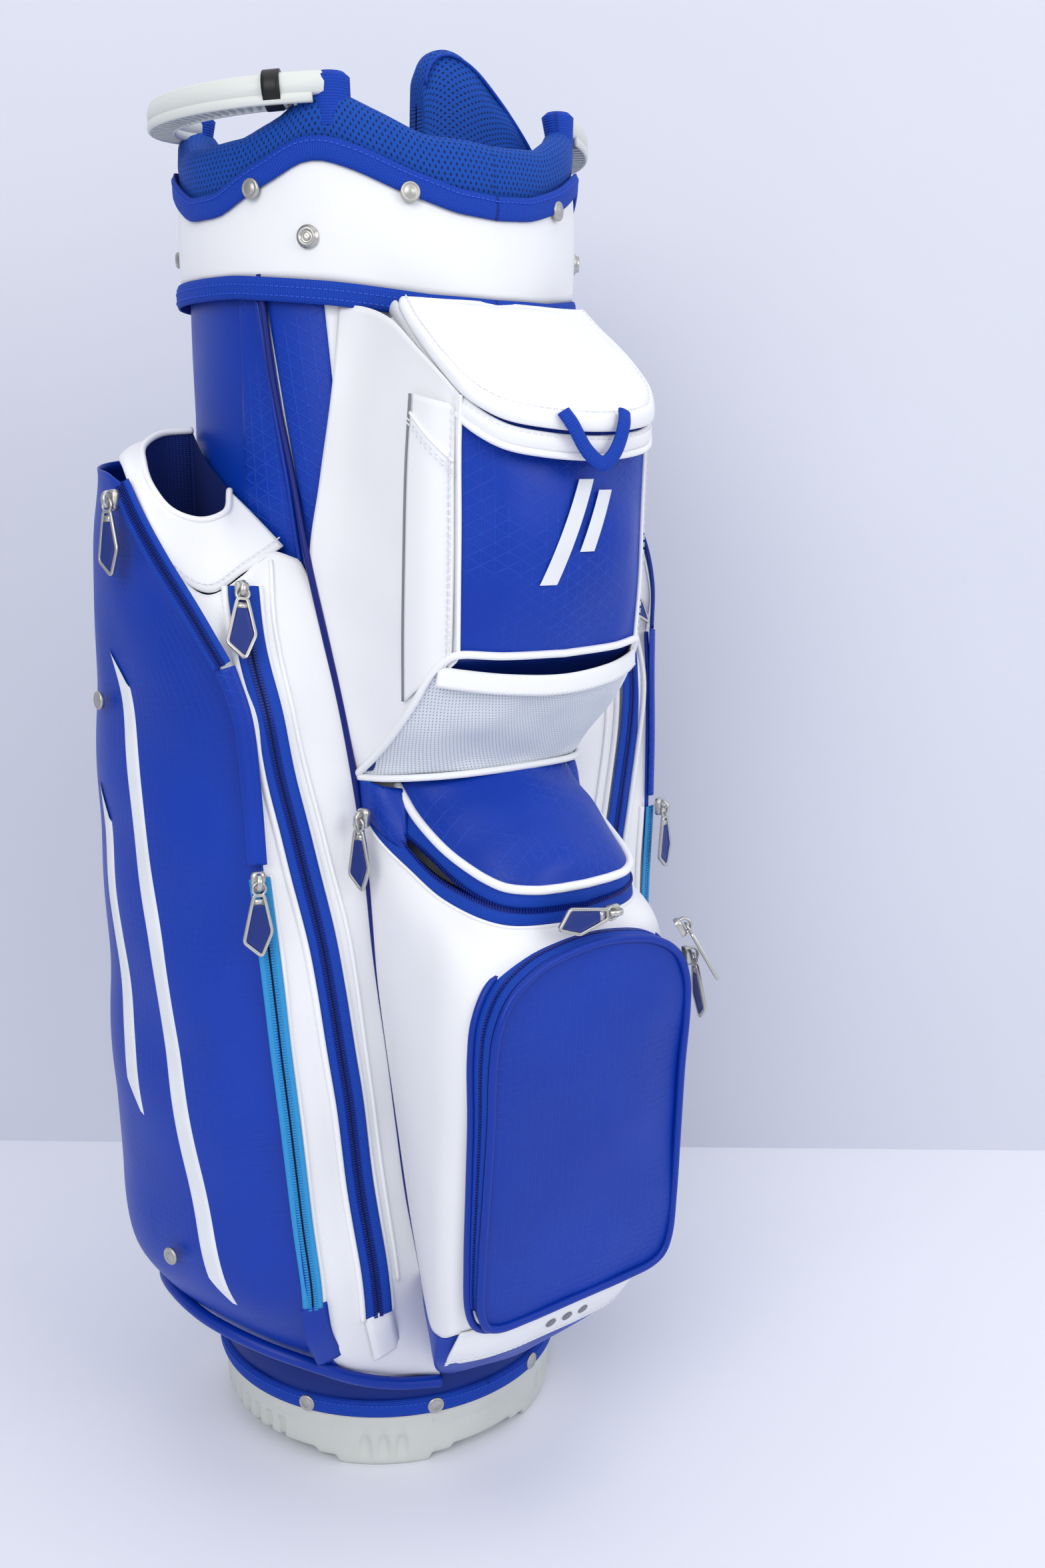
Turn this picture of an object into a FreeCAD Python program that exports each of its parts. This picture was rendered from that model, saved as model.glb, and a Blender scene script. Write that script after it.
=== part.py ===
import FreeCAD, Part
import math
import os
from FreeCAD import Placement, Rotation, Vector

# A golf cart bag. The origin is on the floor on the barrel's axis, the front is towards -Y, +Z is up.

DRIVING_SIZES = {
    # base and barrel
    "base_radius": 120, "base_height": 42, "base_wall": 7, "base_floor": 12, "foot_height": 8,
    "foot_angle": 32, "foot_turn": 54.5, "boss_radius": 14, "tube_radius": 112, "tube_wall": 3, "tube_bottom": 12.5, "tube_top": 790,
    "cover_radius": 117.5, "cover_inner": 113.5, "cover_top": 757, "cover_bottom": 42.5,
    "skirt_radius": 121, "skirt_inner": 118, "skirt_top": 65.5,
    "rod_radius": 2.5, "rod_circle": 105.5, "rod_length": 770,
    # mouth
    "frame_inner": 104, "frame_outer": 112, "frame_bottom": 790.5, "frame_top": 838,
    "collar_radius": 124.5, "collar_inner": 121.5, "collar_bottom": 757.5, "collar_top": 803,
    "binding_height": 12, "pad_top": 850, "pad_radius": 123.5,
    "divider_thickness": 2, "divider_bottom": 13, "divider_top": 831, "pad_thickness": 9,
    "raised_thickness": 23, "handle_radius": 8.5, "handle_reach": 137, "handle_top": 860,
    "handle_end_x": 84, "handle_end_y": 78, "handle_end_z": 866,
    # pockets
    "wall": 3, "front_gap": 118.2, "door_thickness": 15, "flap_thickness": 6,
    # zip furniture
    "tape_width": 18, "tape_thickness": 0.9, "slider_width": 9, "slider_length": 12,
    "slider_height": 4, "pin_radius": 1, "pin_height": 6, "pin_gap": 0.06, "pull_length": 44,
    "pull_width": 17, "pull_thickness": 1.6, "rivet_radius": 5.5, "rivet_height": 1.6,
    "stud_radius": 4, "stud_height": 3, "stud_base_radius": 6.5,
}

doc = FreeCAD.newDocument("cart_bag")
sheet = doc.addObject("Spreadsheet::Sheet", "sizes")
for row, (alias, value) in enumerate(DRIVING_SIZES.items(), start=1):
    sheet.set(f"A{row}", str(value))
    sheet.setAlias(f"A{row}", alias)
doc.recompute()

nodes = {}


def size(alias):
    return float(sheet.get(alias))


def name_node(label, shape_object):
    shape_object.Label = label
    nodes[label] = shape_object
    return shape_object


def bind(shape_object, **expressions):
    for prop, expression in expressions.items():
        shape_object.setExpression(prop.replace("_", "."), expression)
    return shape_object


def feature(label, shape, placement=None):
    holder = doc.addObject("Part::Feature", label + "_shape")
    holder.Shape = shape
    if placement is not None:
        holder.Placement = placement
    return name_node(label, holder)


# ---------------------------------------------------------------- rings about the barrel's axis

def cylinder(label, radius, height, bottom):
    drum = doc.addObject("Part::Cylinder", label)
    bind(drum, Radius=radius, Height=height)
    drum.setExpression("Placement.Base.z", bottom)
    return drum


def cut(label, base, tool):
    result = doc.addObject("Part::Cut", label + "_cut")
    result.Base = base
    result.Tool = tool
    return result


def group(label, members):
    bundle = doc.addObject("Part::Compound", label + "_group")
    bundle.Links = members
    return name_node(label, bundle)


def ring(label, outer, inner, bottom, height):
    rim = cylinder(label + "_outer", outer, height, bottom)
    hole = cylinder(label + "_inner", inner, f"{height} + 2", f"{bottom} - 1")
    return name_node(label, cut(label, rim, hole))


def polygon_sketch(body, name, plane_role, outlines):
    sketch = body.newObject("Sketcher::SketchObject", name)
    plane = next(o for o in body.Origin.OriginFeatures if o.Role == plane_role)
    sketch.AttachmentSupport = [(plane, "")]
    sketch.MapMode = "FlatFace"
    for outline in outlines:
        for start, end in zip(outline, outline[1:] + outline[:1]):
            sketch.addGeometry(Part.LineSegment(Vector(*start, 0), Vector(*end, 0)), False)
    return sketch


def revolved_body(label, outline):
    body = doc.addObject("PartDesign::Body", label + "_body")
    sketch = polygon_sketch(body, label + "_profile", "XZ_Plane", [outline])
    turn = body.newObject("PartDesign::Revolution", label + "_turn")
    turn.Profile = sketch
    turn.ReferenceAxis = (sketch, ["V_Axis"])
    turn.Angle = 360
    body.Tip = turn
    return body


def base_moulding():
    radius, wall = size("base_radius"), size("base_wall")
    floor, height, foot = size("base_floor"), size("base_height"), size("foot_height")
    boss = size("boss_radius")
    profile = [(0, 0), (boss, 0), (boss, foot), (radius - 4, foot), (radius, foot + 4), (radius, height),
               (radius - wall, height), (radius - wall, floor), (0, floor)]
    body = revolved_body("base_moulding", profile)
    turn = size("foot_turn")
    feet = polygon_sketch(body, "foot_outline", "XY_Plane",
                          [foot_outline(middle) for middle in (turn, 180 - turn, 180 + turn, 360 - turn)])
    pad = body.newObject("PartDesign::Pad", "foot")
    pad.Profile = feet
    bind(pad, Length="sizes.base_floor - 1")
    body.Tip = pad
    return name_node("base_moulding", body)


def foot_outline(middle):
    outer, inner = size("base_radius") - 1, size("base_radius") - 38
    half = size("foot_angle") / 2
    turns = [middle - half + step * half / 3 for step in range(7)]
    outside = [(outer * math.cos(math.radians(a)), outer * math.sin(math.radians(a))) for a in turns]
    inside = [(inner * math.cos(math.radians(a)), inner * math.sin(math.radians(a))) for a in turns]
    return outside + inside[::-1]


def rim_pad():
    inner, outer, top = size("frame_inner"), size("pad_radius"), size("pad_top")
    neck, lap = size("collar_inner") - 0.3, size("frame_outer") + 1.3
    frame_top, collar_top = size("frame_top") + 0.5, size("collar_top") + size("binding_height") + 0.8
    outline = [(inner, frame_top), (inner, top - 4), (inner + 4, top), (outer - 5, top), (outer, top - 6),
               (outer, collar_top), (neck, collar_top), (neck, size("tube_top") - 20),
               (lap, size("tube_top") - 20), (lap, frame_top)]
    return name_node("rim_pad", revolved_body("rim_pad", outline))


def cap_group(label, places, radius, length):
    # Flat round caps whose axes point straight out from the barrel's axis.
    caps = []
    for number, (azimuth, height, distance) in enumerate(places):
        cap = doc.addObject("Part::Cylinder", f"{label}_{number}")
        bind(cap, Radius=radius, Height=length)
        direction = Vector(math.sin(math.radians(azimuth)), -math.cos(math.radians(azimuth)), 0)
        cap.Placement = Placement(direction * distance + Vector(0, 0, height),
                                  Rotation(Vector(0, 0, 1), direction))
        caps.append(cap)
    return caps


# ---------------------------------------------------------------- solids of straight walls

def face(points):
    return Part.Face(Part.makePolygon(points + points[:1]))


def side_prism(profile, half_width):
    # A solid with the side view `profile`, in (y, z), as wide as twice half_width.
    flat = face([Vector(-half_width, y, z) for y, z in profile])
    return flat.extrude(Vector(2 * half_width, 0, 0))


def plan_prism(outline, bottom, top):
    return face([Vector(x, y, bottom) for x, y in outline]).extrude(Vector(0, 0, top - bottom))


def front_prism(outline, back, front):
    return face([Vector(x, back, z) for x, z in outline]).extrude(Vector(0, front - back, 0))


def mirrored_outline(half):
    return half + [(-x, y) for x, y in reversed(half) if x != 0]


def barrel_space():
    return Part.makeCylinder(size("front_gap"), 900)


def ruled(sections):
    wires = [Part.makePolygon(s + s[:1]) for s in sections]
    return Part.makeLoft(wires, True, True)


def block(side_profile, plan_half, clearance=0.0):
    # The common part of a side view and a plan view, each drawn in by clearance.
    half_width = max(x for x, _ in plan_half)
    side = side_prism(side_profile, half_width + 1)
    heights = [z for _, z in side_profile]
    plan = plan_prism(mirrored_outline(plan_half), min(heights) - 1, max(heights) + 1)
    if clearance:
        plan = plan_prism(mirrored_outline(inset(plan_half, clearance)), min(heights) - 1, max(heights) + 1)
    return side.common(plan)


def inset(plan_half, distance):
    # Draws a half outline in towards the barrel's axis.
    drawn = []
    for x, y in plan_half:
        reach = math.hypot(x, y)
        drawn.append((x * (reach - distance) / reach, y * (reach - distance) / reach))
    return drawn


UPPER_PLAN = [(96, -66), (86, -105), (72, -140), (67, -178), (40, -196), (0, -203)]
LOWER_PLAN = [(84, -80), (79, -120), (78, -195), (72, -206), (0, -210)]
MID_PLAN = [(84, -80), (78, -118), (70, -160), (60, -190), (44, -206), (0, -213)]


VALUABLES_SIDE = [(-60, 492), (-136, 500), (-172, 562), (-196, 596), (-203, 630), (-203, 668), (-186, 690),
                  (-124, 735), (-60, 735)]


def valuables_pocket():
    inner = [(-60, 566), (-168, 566), (-192, 598), (-199.5, 630), (-199.5, 700), (-60, 780)]
    shell = block(VALUABLES_SIDE, UPPER_PLAN).cut(block(inner, UPPER_PLAN, size("wall")))
    return feature("valuables_pocket", shell.cut(barrel_space()))


def valuables_flap():
    # A tongue with a downturned lip, hinged on its top edge under the collar.
    thickness = size("flap_thickness")
    top = [(-128.6, 747.5), (-160, 728), (-202, 702), (-213, 690), (-213, 676)]
    under = [(-210, 676), (-207, 688), (-197, 698), (-157, 728 - thickness), (-128.6, 747.5 - thickness)]
    plan = [(69, -124), (69, -176), (62, -196), (40, -209), (0, -214)]
    return feature("valuables_flap", block(top + under, plan))


def flap_pull_loop():
    # A strip of webbing bent into a U in front of the flap's lip.
    outline = [(-24, 690), (-20, 680), (-9, 664), (9, 664), (20, 680), (24, 690), (19, 690), (15, 682),
               (6, 669), (-6, 669), (-15, 682), (-19, 690)]
    return feature("flap_pull_loop", front_prism(outline, -213.5, -216.5))


def pen_pocket():
    # A slim sleeve on the side of the upper block, with a slanted mouth.
    outline = [(-143, 562), (-178, 562), (-180, 672), (-143, 697)]
    left, right, wall = -88, -78, 1.5
    sleeve = face([Vector(left, y, z) for y, z in outline]).extrude(Vector(right - left, 0, 0))
    hollow_outline = [(-146, 566), (-175, 566), (-175, 740), (-146, 740)]
    hollow = face([Vector(left + wall, y, z) for y, z in hollow_outline])
    return feature("pen_pocket", sleeve.cut(hollow.extrude(Vector(right - left - 2 * wall, 0, 0)))
                   .cut(valuables_block()))


def valuables_block():
    return plan_prism(mirrored_outline(UPPER_PLAN), 480, 760)


def mesh_pocket():
    # A bowed sheet from the lower piping up to the elastic lip, open at the top.
    low = [(82, -92), (70, -124), (48, -143), (0, -151)]
    high = [(76, -166), (68, -181), (44, -190), (0, -194)]
    thickness = 1.6

    def sheet_section(half, height):
        outside = [Vector(x, y, height) for x, y in mirrored_outline(half)]
        inside = [Vector(x, y, height) for x, y in mirrored_outline(inset(half, thickness))]
        return outside + inside[::-1]

    bowed = ruled([sheet_section(low, 485), sheet_section(high, 549)])
    return feature("mesh_pocket", bowed.cut(block(VALUABLES_SIDE, UPPER_PLAN)))


def mid_pocket():
    outer = [(-60, 398.5), (-216, 398.5), (-216, 414), (-152, 466), (-60, 472)]
    inner = [(-60, 401.5), (-220, 401.5), (-220, 500), (-60, 500)]
    shell = block(outer, MID_PLAN).cut(block(inner, MID_PLAN, size("wall")))
    back_wall = Part.makeCylinder(size("front_gap") + 2.5, 90, Vector(0, 0, 395))
    keep = block(outer, MID_PLAN).common(back_wall)
    return feature("mid_pocket", shell.fuse(keep).cut(barrel_space()).removeSplitter())


def mid_lid():
    top = [(-123, 483), (-150, 475), (-214, 428.4)]
    under = [(-214, 419.4), (-150, 469), (-123, 474)]
    plan = [(62, -120), (62, -150), (57, -174), (46, -198), (30, -209), (0, -213.5)]
    return feature("mid_lid", block(top + under, plan))


def door_outline(half_width, bottom, top):
    # A door with small corners at the foot and wide arched shoulders.
    return mirrored_outline([(half_width, bottom + 12), (half_width - 8, bottom)][::-1]
                            + [(half_width, top - 52), (half_width - 12, top - 22),
                               (half_width - 34, top - 6), (0, top)])


def ball_pocket():
    outer = [(-60, 66), (-118, 66), (-150, 84), (-184, 112), (-203, 150), (-205, 398), (-60, 398)]
    inner = [(-60, 100), (-150, 100), (-178, 118), (-200, 152), (-202, 394.8), (-60, 394.8)]
    shell = block(outer, LOWER_PLAN).cut(block(inner, LOWER_PLAN, size("wall")))
    back_wall = Part.makeCylinder(size("front_gap") + 2.5, 400)
    keep = block(outer, LOWER_PLAN).common(back_wall)
    mouth = front_prism(door_outline(66, 168, 384), -180, -230)
    return feature("ball_pocket", shell.fuse(keep).cut(barrel_space()).cut(mouth).removeSplitter())


def ball_door():
    # The panel leans out a little towards its top, as the pocket does.
    lean = [(-205.6, 157), (-205.6 - size("door_thickness") * 0.5, 157), (-229, 372), (-226, 392),
            (-205.6, 392)]
    panel = side_prism(lean, 80).common(front_prism(door_outline(77, 158, 391), -200, -232))
    return feature("ball_door", panel)


def label_band():
    low = [(-188, 114), (-190.4, 112.6), (-208.5, 148.5), (-206, 150)]
    return feature("label_band", side_prism(low, 74))


# Plan outlines of the left side pocket at several heights, from the front seam round to the back seam.
SIDE_SECTIONS = [
    (78, [(-84, -92), (-100, -88), (-128, -40), (-130, 20), (-112, 62), (-92, 76)]),
    (105, [(-60, -109), (-122, -100), (-156, -42), (-158, 22), (-134, 74), (-92, 80)]),
    (160, [(-56, -113), (-134, -116), (-182, -52), (-184, 24), (-156, 80), (-92, 82)]),
    (290, [(-66, -106), (-143, -109), (-190, -48), (-191, 24), (-162, 82), (-92, 82)]),
    (373, [(-74, -100), (-147, -104), (-190, -44), (-191, 24), (-162, 82), (-92, 82)]),
    (473, [(-82, -94), (-152, -98), (-190, -40), (-191, 24), (-162, 82), (-92, 82)]),
    (545, [(-92, -85), (-159, -85), (-190, -30), (-191, 24), (-162, 80), (-92, 82)]),
    (600, [(-98, -67), (-176, -37), (-189, -8), (-189, 26), (-160, 76), (-92, 82)]),
    (664, [(-104, -50), (-174, -10), (-180, 4), (-178, 28), (-152, 62), (-92, 82)]),
]


def side_sections(side, distance=0.0, lowest=0.0, highest=1000.0):
    sections = []
    for height, outline in SIDE_SECTIONS:
        drawn = inset(outline, distance) if distance else outline
        if lowest <= height <= highest:
            sections.append([Vector(-side * x, y, height) for x, y in drawn])
    return sections


def side_pocket(side, label):
    # side is -1 for the left pocket and 1 for the right one.
    outer = ruled(side_sections(side))
    cavity = ruled(side_sections(side, size("wall") + 1, 105, 600))
    slant = side_prism([(-130, 540), (-60, 603), (12, 668), (12, 760), (-130, 760)], 220)
    mouth_x = [side * 172, side * 132]
    mouth = Part.makeBox(40, 52, 110, Vector(min(mouth_x), -42, 580))
    barrel = barrel_space()
    lining = Part.makeCylinder(size("front_gap") + 2.5, 900)
    shell = outer.cut(slant).cut(cavity.cut(lining)).cut(mouth).cut(barrel)
    front_block = plan_prism(mirrored_outline(LOWER_PLAN), 60, 398.2)
    mid_block = plan_prism(mirrored_outline(MID_PLAN), 398.2, 490)
    upper_block = plan_prism(mirrored_outline(UPPER_PLAN), 490, 760)
    for neighbour in (front_block, mid_block, upper_block):
        shell = shell.cut(neighbour)
    biggest = max(shell.Solids, key=lambda solid: solid.Volume)
    return feature(label, biggest)


def on_gusset(side, share, height):
    # A point on the front of a side pocket: share 0 is its outer corner, 1 its seam with the front block.
    levels = [level for level, _ in SIDE_SECTIONS]
    upper = next(i for i, level in enumerate(levels) if level >= height)
    lower = max(upper - 1, 0)
    span = max(levels[upper] - levels[lower], 1)
    mix = (height - levels[lower]) / span

    def corner(index):
        (x0, y0), (x1, y1) = SIDE_SECTIONS[lower][1][index], SIDE_SECTIONS[upper][1][index]
        return Vector(-side * (x0 + (x1 - x0) * mix), y0 + (y1 - y0) * mix, height)

    seam, edge = corner(0), corner(1)
    return edge + (seam - edge) * share


def ribbon(points, normal, width, thickness, lift):
    # A flat strip of even width that follows the points, lifted off them along its normal.
    sections = []
    for number, point in enumerate(points):
        before, after = points[max(number - 1, 0)], points[min(number + 1, len(points) - 1)]
        along = (after - before).normalize()
        across = along.cross(normal).normalize()
        outward = across.cross(along).normalize()
        low = point + outward * lift
        sections.append([low - across * width / 2, low + across * width / 2,
                         low + across * width / 2 + outward * thickness,
                         low - across * width / 2 + outward * thickness])
    return ruled(sections)


def side_zips(side, label):
    width, thickness = size("tape_width"), size("tape_thickness")
    facing = Vector(side * 0.25, -1, 0.1)
    long_zip = [on_gusset(side, share, height)
                for share, height in ((0.42, 585), (0.3, 545), (0.32, 473), (0.46, 373), (0.53, 290),
                                      (0.55, 160), (0.54, 128))]
    cyan_zip = [on_gusset(side, share, height)
                for share, height in ((0.08, 440), (0.09, 373), (0.1, 290), (0.11, 160))]
    outer_zip = [on_gusset(side, 0.0, height) for height in (640, 600, 545, 473)]
    strips = [ribbon(long_zip, facing, width, thickness, 0.3),
              ribbon(cyan_zip, facing, width * 0.6, thickness, 0.3),
              ribbon(outer_zip, Vector(side, -0.8, 0), width * 0.7, thickness, 2.5)]
    pocket = nodes["side_pocket_left" if side < 0 else "side_pocket_right"].Shape
    clear = [max(strip.cut(pocket).Solids, key=lambda solid: solid.Volume) for strip in strips]
    return feature(label, Part.makeCompound(clear))


def mid_zip():
    route = [Vector(-80, -118, 462), Vector(-73, -160, 428), Vector(-63, -190, 409)]
    front = [Vector(-44, -216.5, 408), Vector(0, -217.5, 408), Vector(44, -216.5, 408)]
    right = [Vector(-p.x, p.y, p.z) for p in reversed(route)]
    width, thickness = size("tape_width") * 0.7, size("tape_thickness")
    strips = [ribbon(route, Vector(-1, -0.2, 0), width, thickness, 2.5),
              ribbon(front, Vector(0, -1, 0), width, thickness, 0.3),
              ribbon(right, Vector(1, -0.2, 0), width, thickness, 2.5)]
    return feature("mid_zip", Part.makeCompound(strips))


def ball_zip():
    # The tape stands round the door's edge, on the pocket's front.
    outer = front_prism(door_outline(80, 170, 394.5), -205.3, -214)
    inner = front_prism(door_outline(78.2, 150, 392.6), -204, -216)
    return feature("ball_zip", outer.cut(inner))


# ---------------------------------------------------------------- zip sliders and pulls

def zip_frame(origin, up, normal):
    # The furniture's own frame: X across the zip, Y up along it, Z out of the bag.
    outward = Vector(*normal).normalize()
    upward = Vector(*up)
    upward = (upward - outward * upward.dot(outward)).normalize()
    across = upward.cross(outward).normalize()
    matrix = FreeCAD.Matrix(across.x, upward.x, outward.x, origin[0],
                            across.y, upward.y, outward.y, origin[1],
                            across.z, upward.z, outward.z, origin[2], 0, 0, 0, 1)
    return Placement(matrix)


def zip_slider(label, frame):
    width, length, height = size("slider_width"), size("slider_length"), size("slider_height")
    pin_height, pin = size("pin_height"), size("pin_radius")
    body = Part.makeBox(width, length, height, Vector(-width / 2, -length / 2, 0))
    ear_width, ear_gap = 1.2, 2.3
    solid = body
    for start in (-ear_gap - ear_width, ear_gap):
        ear = Part.makeBox(ear_width, 4, pin_height + pin, Vector(start, -2, 0))
        solid = solid.fuse(ear)
    reach = ear_gap + ear_width
    pivot = Part.makeCylinder(pin, 2 * reach, Vector(-reach, 0, pin_height), Vector(1, 0, 0))
    return feature(label, solid.fuse(pivot).removeSplitter(), frame)


def zip_pull(label, frame):
    # A kite-shaped plate below a small eye that turns on the slider's pin.
    length, half = size("pull_length"), size("pull_width") / 2
    thickness, pin_height = size("pull_thickness"), size("pin_height")
    bore = size("pin_radius") + size("pin_gap")
    eye = Part.makeCylinder(bore + 0.9, 4, Vector(-2, 0, pin_height), Vector(1, 0, 0))
    kite = [(-2, 0), (-3, -8), (-half, -length + 9), (half * 0.3, -length), (half, -length + 16), (3, -8), (2, 0)]
    bottom = pin_height - thickness / 2
    plate = face([Vector(x, y, bottom) for x, y in kite]).extrude(Vector(0, 0, thickness))
    hole = Part.makeCylinder(bore, 6, Vector(-3, 0, pin_height), Vector(1, 0, 0))
    return feature(label, eye.fuse(plate).cut(hole).removeSplitter(), frame)


# Each slider: where it sits, which way is up along its pull, and which way it faces.
ZIP_FURNITURE = {
    "outer": ((-192, -16, 640), (0, 0.1, 1), (-1, -0.25, 0.1)),
    "long": ((-141.9, -69.6, 588.9), (0.35, 0.55, 1), (-0.3, -1, 0.6)),
    "cyan": ((-157, -107, 428), (0.05, 0, 1), (-0.35, -1, 0)),
}
FRONT_FURNITURE = {
    "mid_left": ((-86.5, -112, 456), (0, 0, 1), (-1, -0.25, 0)),
    "mid_front": ((12, -220.5, 407), (1, 0, 0), (0, -1, 0.1)),
    "ball_top": ((73, -216, 383), (-0.42, 0.27, 0.86), (0.72, -0.47, 0.5)),
    "ball_side": ((84, -212, 362), (-0.13, 0.09, 0.98), (0.92, -0.34, 0.15)),
}


def zip_furniture():
    for name, (origin, up, normal) in ZIP_FURNITURE.items():
        for side, suffix in ((-1, "left"), (1, "right")):
            placed = [(-side * v[0], v[1], v[2]) for v in (origin, up, normal)]
            frame = zip_frame(*placed)
            zip_slider(f"{name}_slider_{suffix}", frame)
            zip_pull(f"{name}_pull_{suffix}", frame)
    for name, placed in FRONT_FURNITURE.items():
        frame = zip_frame(*placed)
        zip_slider(f"{name}_slider", frame)
        zip_pull(f"{name}_pull", frame)


# ---------------------------------------------------------------- the mouth

def handle_arc(side):
    end_x, end_y, end_z = size("handle_end_x"), size("handle_end_y"), size("handle_end_z")
    middle = Vector(side * size("handle_reach"), 0, size("handle_top"))
    return Part.Arc(Vector(side * end_x, -end_y, end_z), middle, Vector(side * end_x, end_y, end_z))


def side_handle(side, label):
    arc = handle_arc(side)
    edge = arc.toShape()
    start = edge.valueAt(edge.FirstParameter)
    tangent = edge.tangentAt(edge.FirstParameter)
    ring_edge = Part.makeCircle(size("handle_radius"), start, tangent)
    bar = Part.Wire([edge]).makePipeShell([Part.Wire([ring_edge])], True, True)
    return feature(label, bar)


def handle_clip():
    edge = handle_arc(-1).toShape()
    span = edge.LastParameter - edge.FirstParameter
    place = edge.FirstParameter + 0.14 * span
    point, tangent = edge.valueAt(place), edge.tangentAt(place)
    start = point - tangent * 4
    outer = Part.makeCylinder(size("handle_radius") + 3, 8, start, tangent)
    inner = Part.makeCylinder(size("handle_radius") + 0.6, 10, start - tangent, tangent)
    return feature("handle_clip", outer.cut(inner))


def handle_wraps():
    end_x, end_y = size("handle_end_x"), size("handle_end_y")
    bars = [nodes["handle_left"].Shape, nodes["handle_right"].Shape]
    wraps = []
    for side in (-1, 1):
        for end in (-1, 1):
            block_shape = Part.makeBox(24, 14, 31, Vector(-12, -7, 0))
            block_shape.rotate(Vector(0, 0, 0), Vector(0, 0, 1), side * end * 50)
            block_shape.translate(Vector(side * (end_x - 2), end * (end_y - 1), size("pad_top") + 0.2))
            for bar in bars:
                block_shape = block_shape.cut(bar)
            wraps.append(max(block_shape.Solids, key=lambda solid: solid.Volume))
    return feature("handle_wraps", Part.makeCompound(wraps))


def divider_sheets():
    half = size("divider_thickness") / 2
    inner = size("rod_circle") - size("rod_radius") - 1
    walls = []
    for label, low, high in (("front_wall", (-88, -50 - half), (88, -50 + half)),
                             ("back_wall", (-93, 40 - half), (93, 40 + half)),
                             ("middle_wall", (-half, -48.8), (half, 38.8)),
                             ("rear_wall", (-half, 41.2), (half, inner))):
        wall = doc.addObject("Part::Box", label)
        wall.Length = high[0] - low[0]
        wall.Width = high[1] - low[1]
        bind(wall, Height="sizes.divider_top - sizes.divider_bottom")
        wall.Placement = Placement(Vector(low[0], low[1], 0), Rotation())
        wall.setExpression("Placement.Base.z", "sizes.divider_bottom")
        walls.append(wall)
    return group("dividers", walls)


def divider_pads():
    half, bottom = size("pad_thickness") / 2, size("divider_top") + 0.3
    height = 14
    bars = [Part.makeBox(95.6, 2 * half, height, Vector(-100, -50 - half, bottom)),
            Part.makeBox(200, 2 * half, height, Vector(-100, 40 - half, bottom)),
            Part.makeBox(2 * half, 73.5, height, Vector(-half, -38.2, bottom)),
            Part.makeBox(2 * half, 60, height, Vector(-half, 44.7, bottom))]
    mouth = Part.makeCylinder(size("frame_inner") - 0.5, height, Vector(0, 0, bottom))
    return feature("divider_pads", Part.makeCompound([bar.common(mouth) for bar in bars]))


def raised_divider_pad():
    bottom = size("divider_top") + 0.3
    body = doc.addObject("PartDesign::Body", "raised_divider_body")
    outline = [(-3, bottom), (-4, 886), (4, 901), (14, 905), (28, 902), (56, 880), (79, 855), (82, bottom)]
    sketch = polygon_sketch(body, "raised_outline", "XZ_Plane", [outline])
    pad = body.newObject("PartDesign::Pad", "raised_foam")
    pad.Profile = sketch
    bind(pad, Length="sizes.raised_thickness")
    body.Tip = pad
    body.Placement = Placement(Vector(0, -50 + size("raised_thickness") / 2, 0), Rotation())
    return name_node("raised_divider_pad", body)


def back_panel():
    # A padded spine at the back, on the cover.
    outer = doc.addObject("Part::Cylinder", "spine_outer")
    inner = doc.addObject("Part::Cylinder", "spine_inner")
    bind(outer, Radius="sizes.cover_radius + 9", Height="sizes.cover_top - 150")
    bind(inner, Radius="sizes.cover_radius + 0.3", Height="sizes.cover_top")
    outer.Angle = 64
    outer.Placement = Placement(Vector(0, 0, 110), Rotation(Vector(0, 0, 1), 58))
    return name_node("back_panel", cut("back_panel", outer, inner))


def stay_rods():
    rods = []
    for number, azimuth in enumerate((45, 135, 225, 315)):
        rod = doc.addObject("Part::Cylinder", f"rod_{number}")
        bind(rod, Radius="sizes.rod_radius", Height="sizes.rod_length")
        reach = size("rod_circle")
        rod.Placement = Placement(Vector(reach * math.cos(math.radians(azimuth)),
                                         reach * math.sin(math.radians(azimuth)), size("divider_bottom")),
                                  Rotation())
        rods.append(rod)
    return group("stay_rods", rods)


def hood_studs():
    studs = []
    for azimuth in (-51.5, 51.5, 128, 232):
        direction = Vector(math.sin(math.radians(azimuth)), -math.cos(math.radians(azimuth)), 0)
        start = direction * (size("collar_radius") + 0.1) + Vector(0, 0, 786)
        disc = Part.makeCylinder(size("stud_base_radius"), 1.2, start, direction)
        post = Part.makeCylinder(size("stud_radius"), size("stud_height"), start + direction * 1.2, direction)
        studs.append(disc.fuse(post))
    return feature("hood_studs", Part.makeCompound(studs))


def side_eyelets():
    rings = []
    for side in (-1, 1):
        for y, z, x in ((-40, 173, 186.3), (14, 520, 191.4)):
            start, direction = Vector(side * x, y, z), Vector(side, 0, 0)
            disc = Part.makeCylinder(5, 1.6, start, direction)
            rings.append(disc)
    return feature("side_eyelets", Part.makeCompound(rings))


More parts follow.
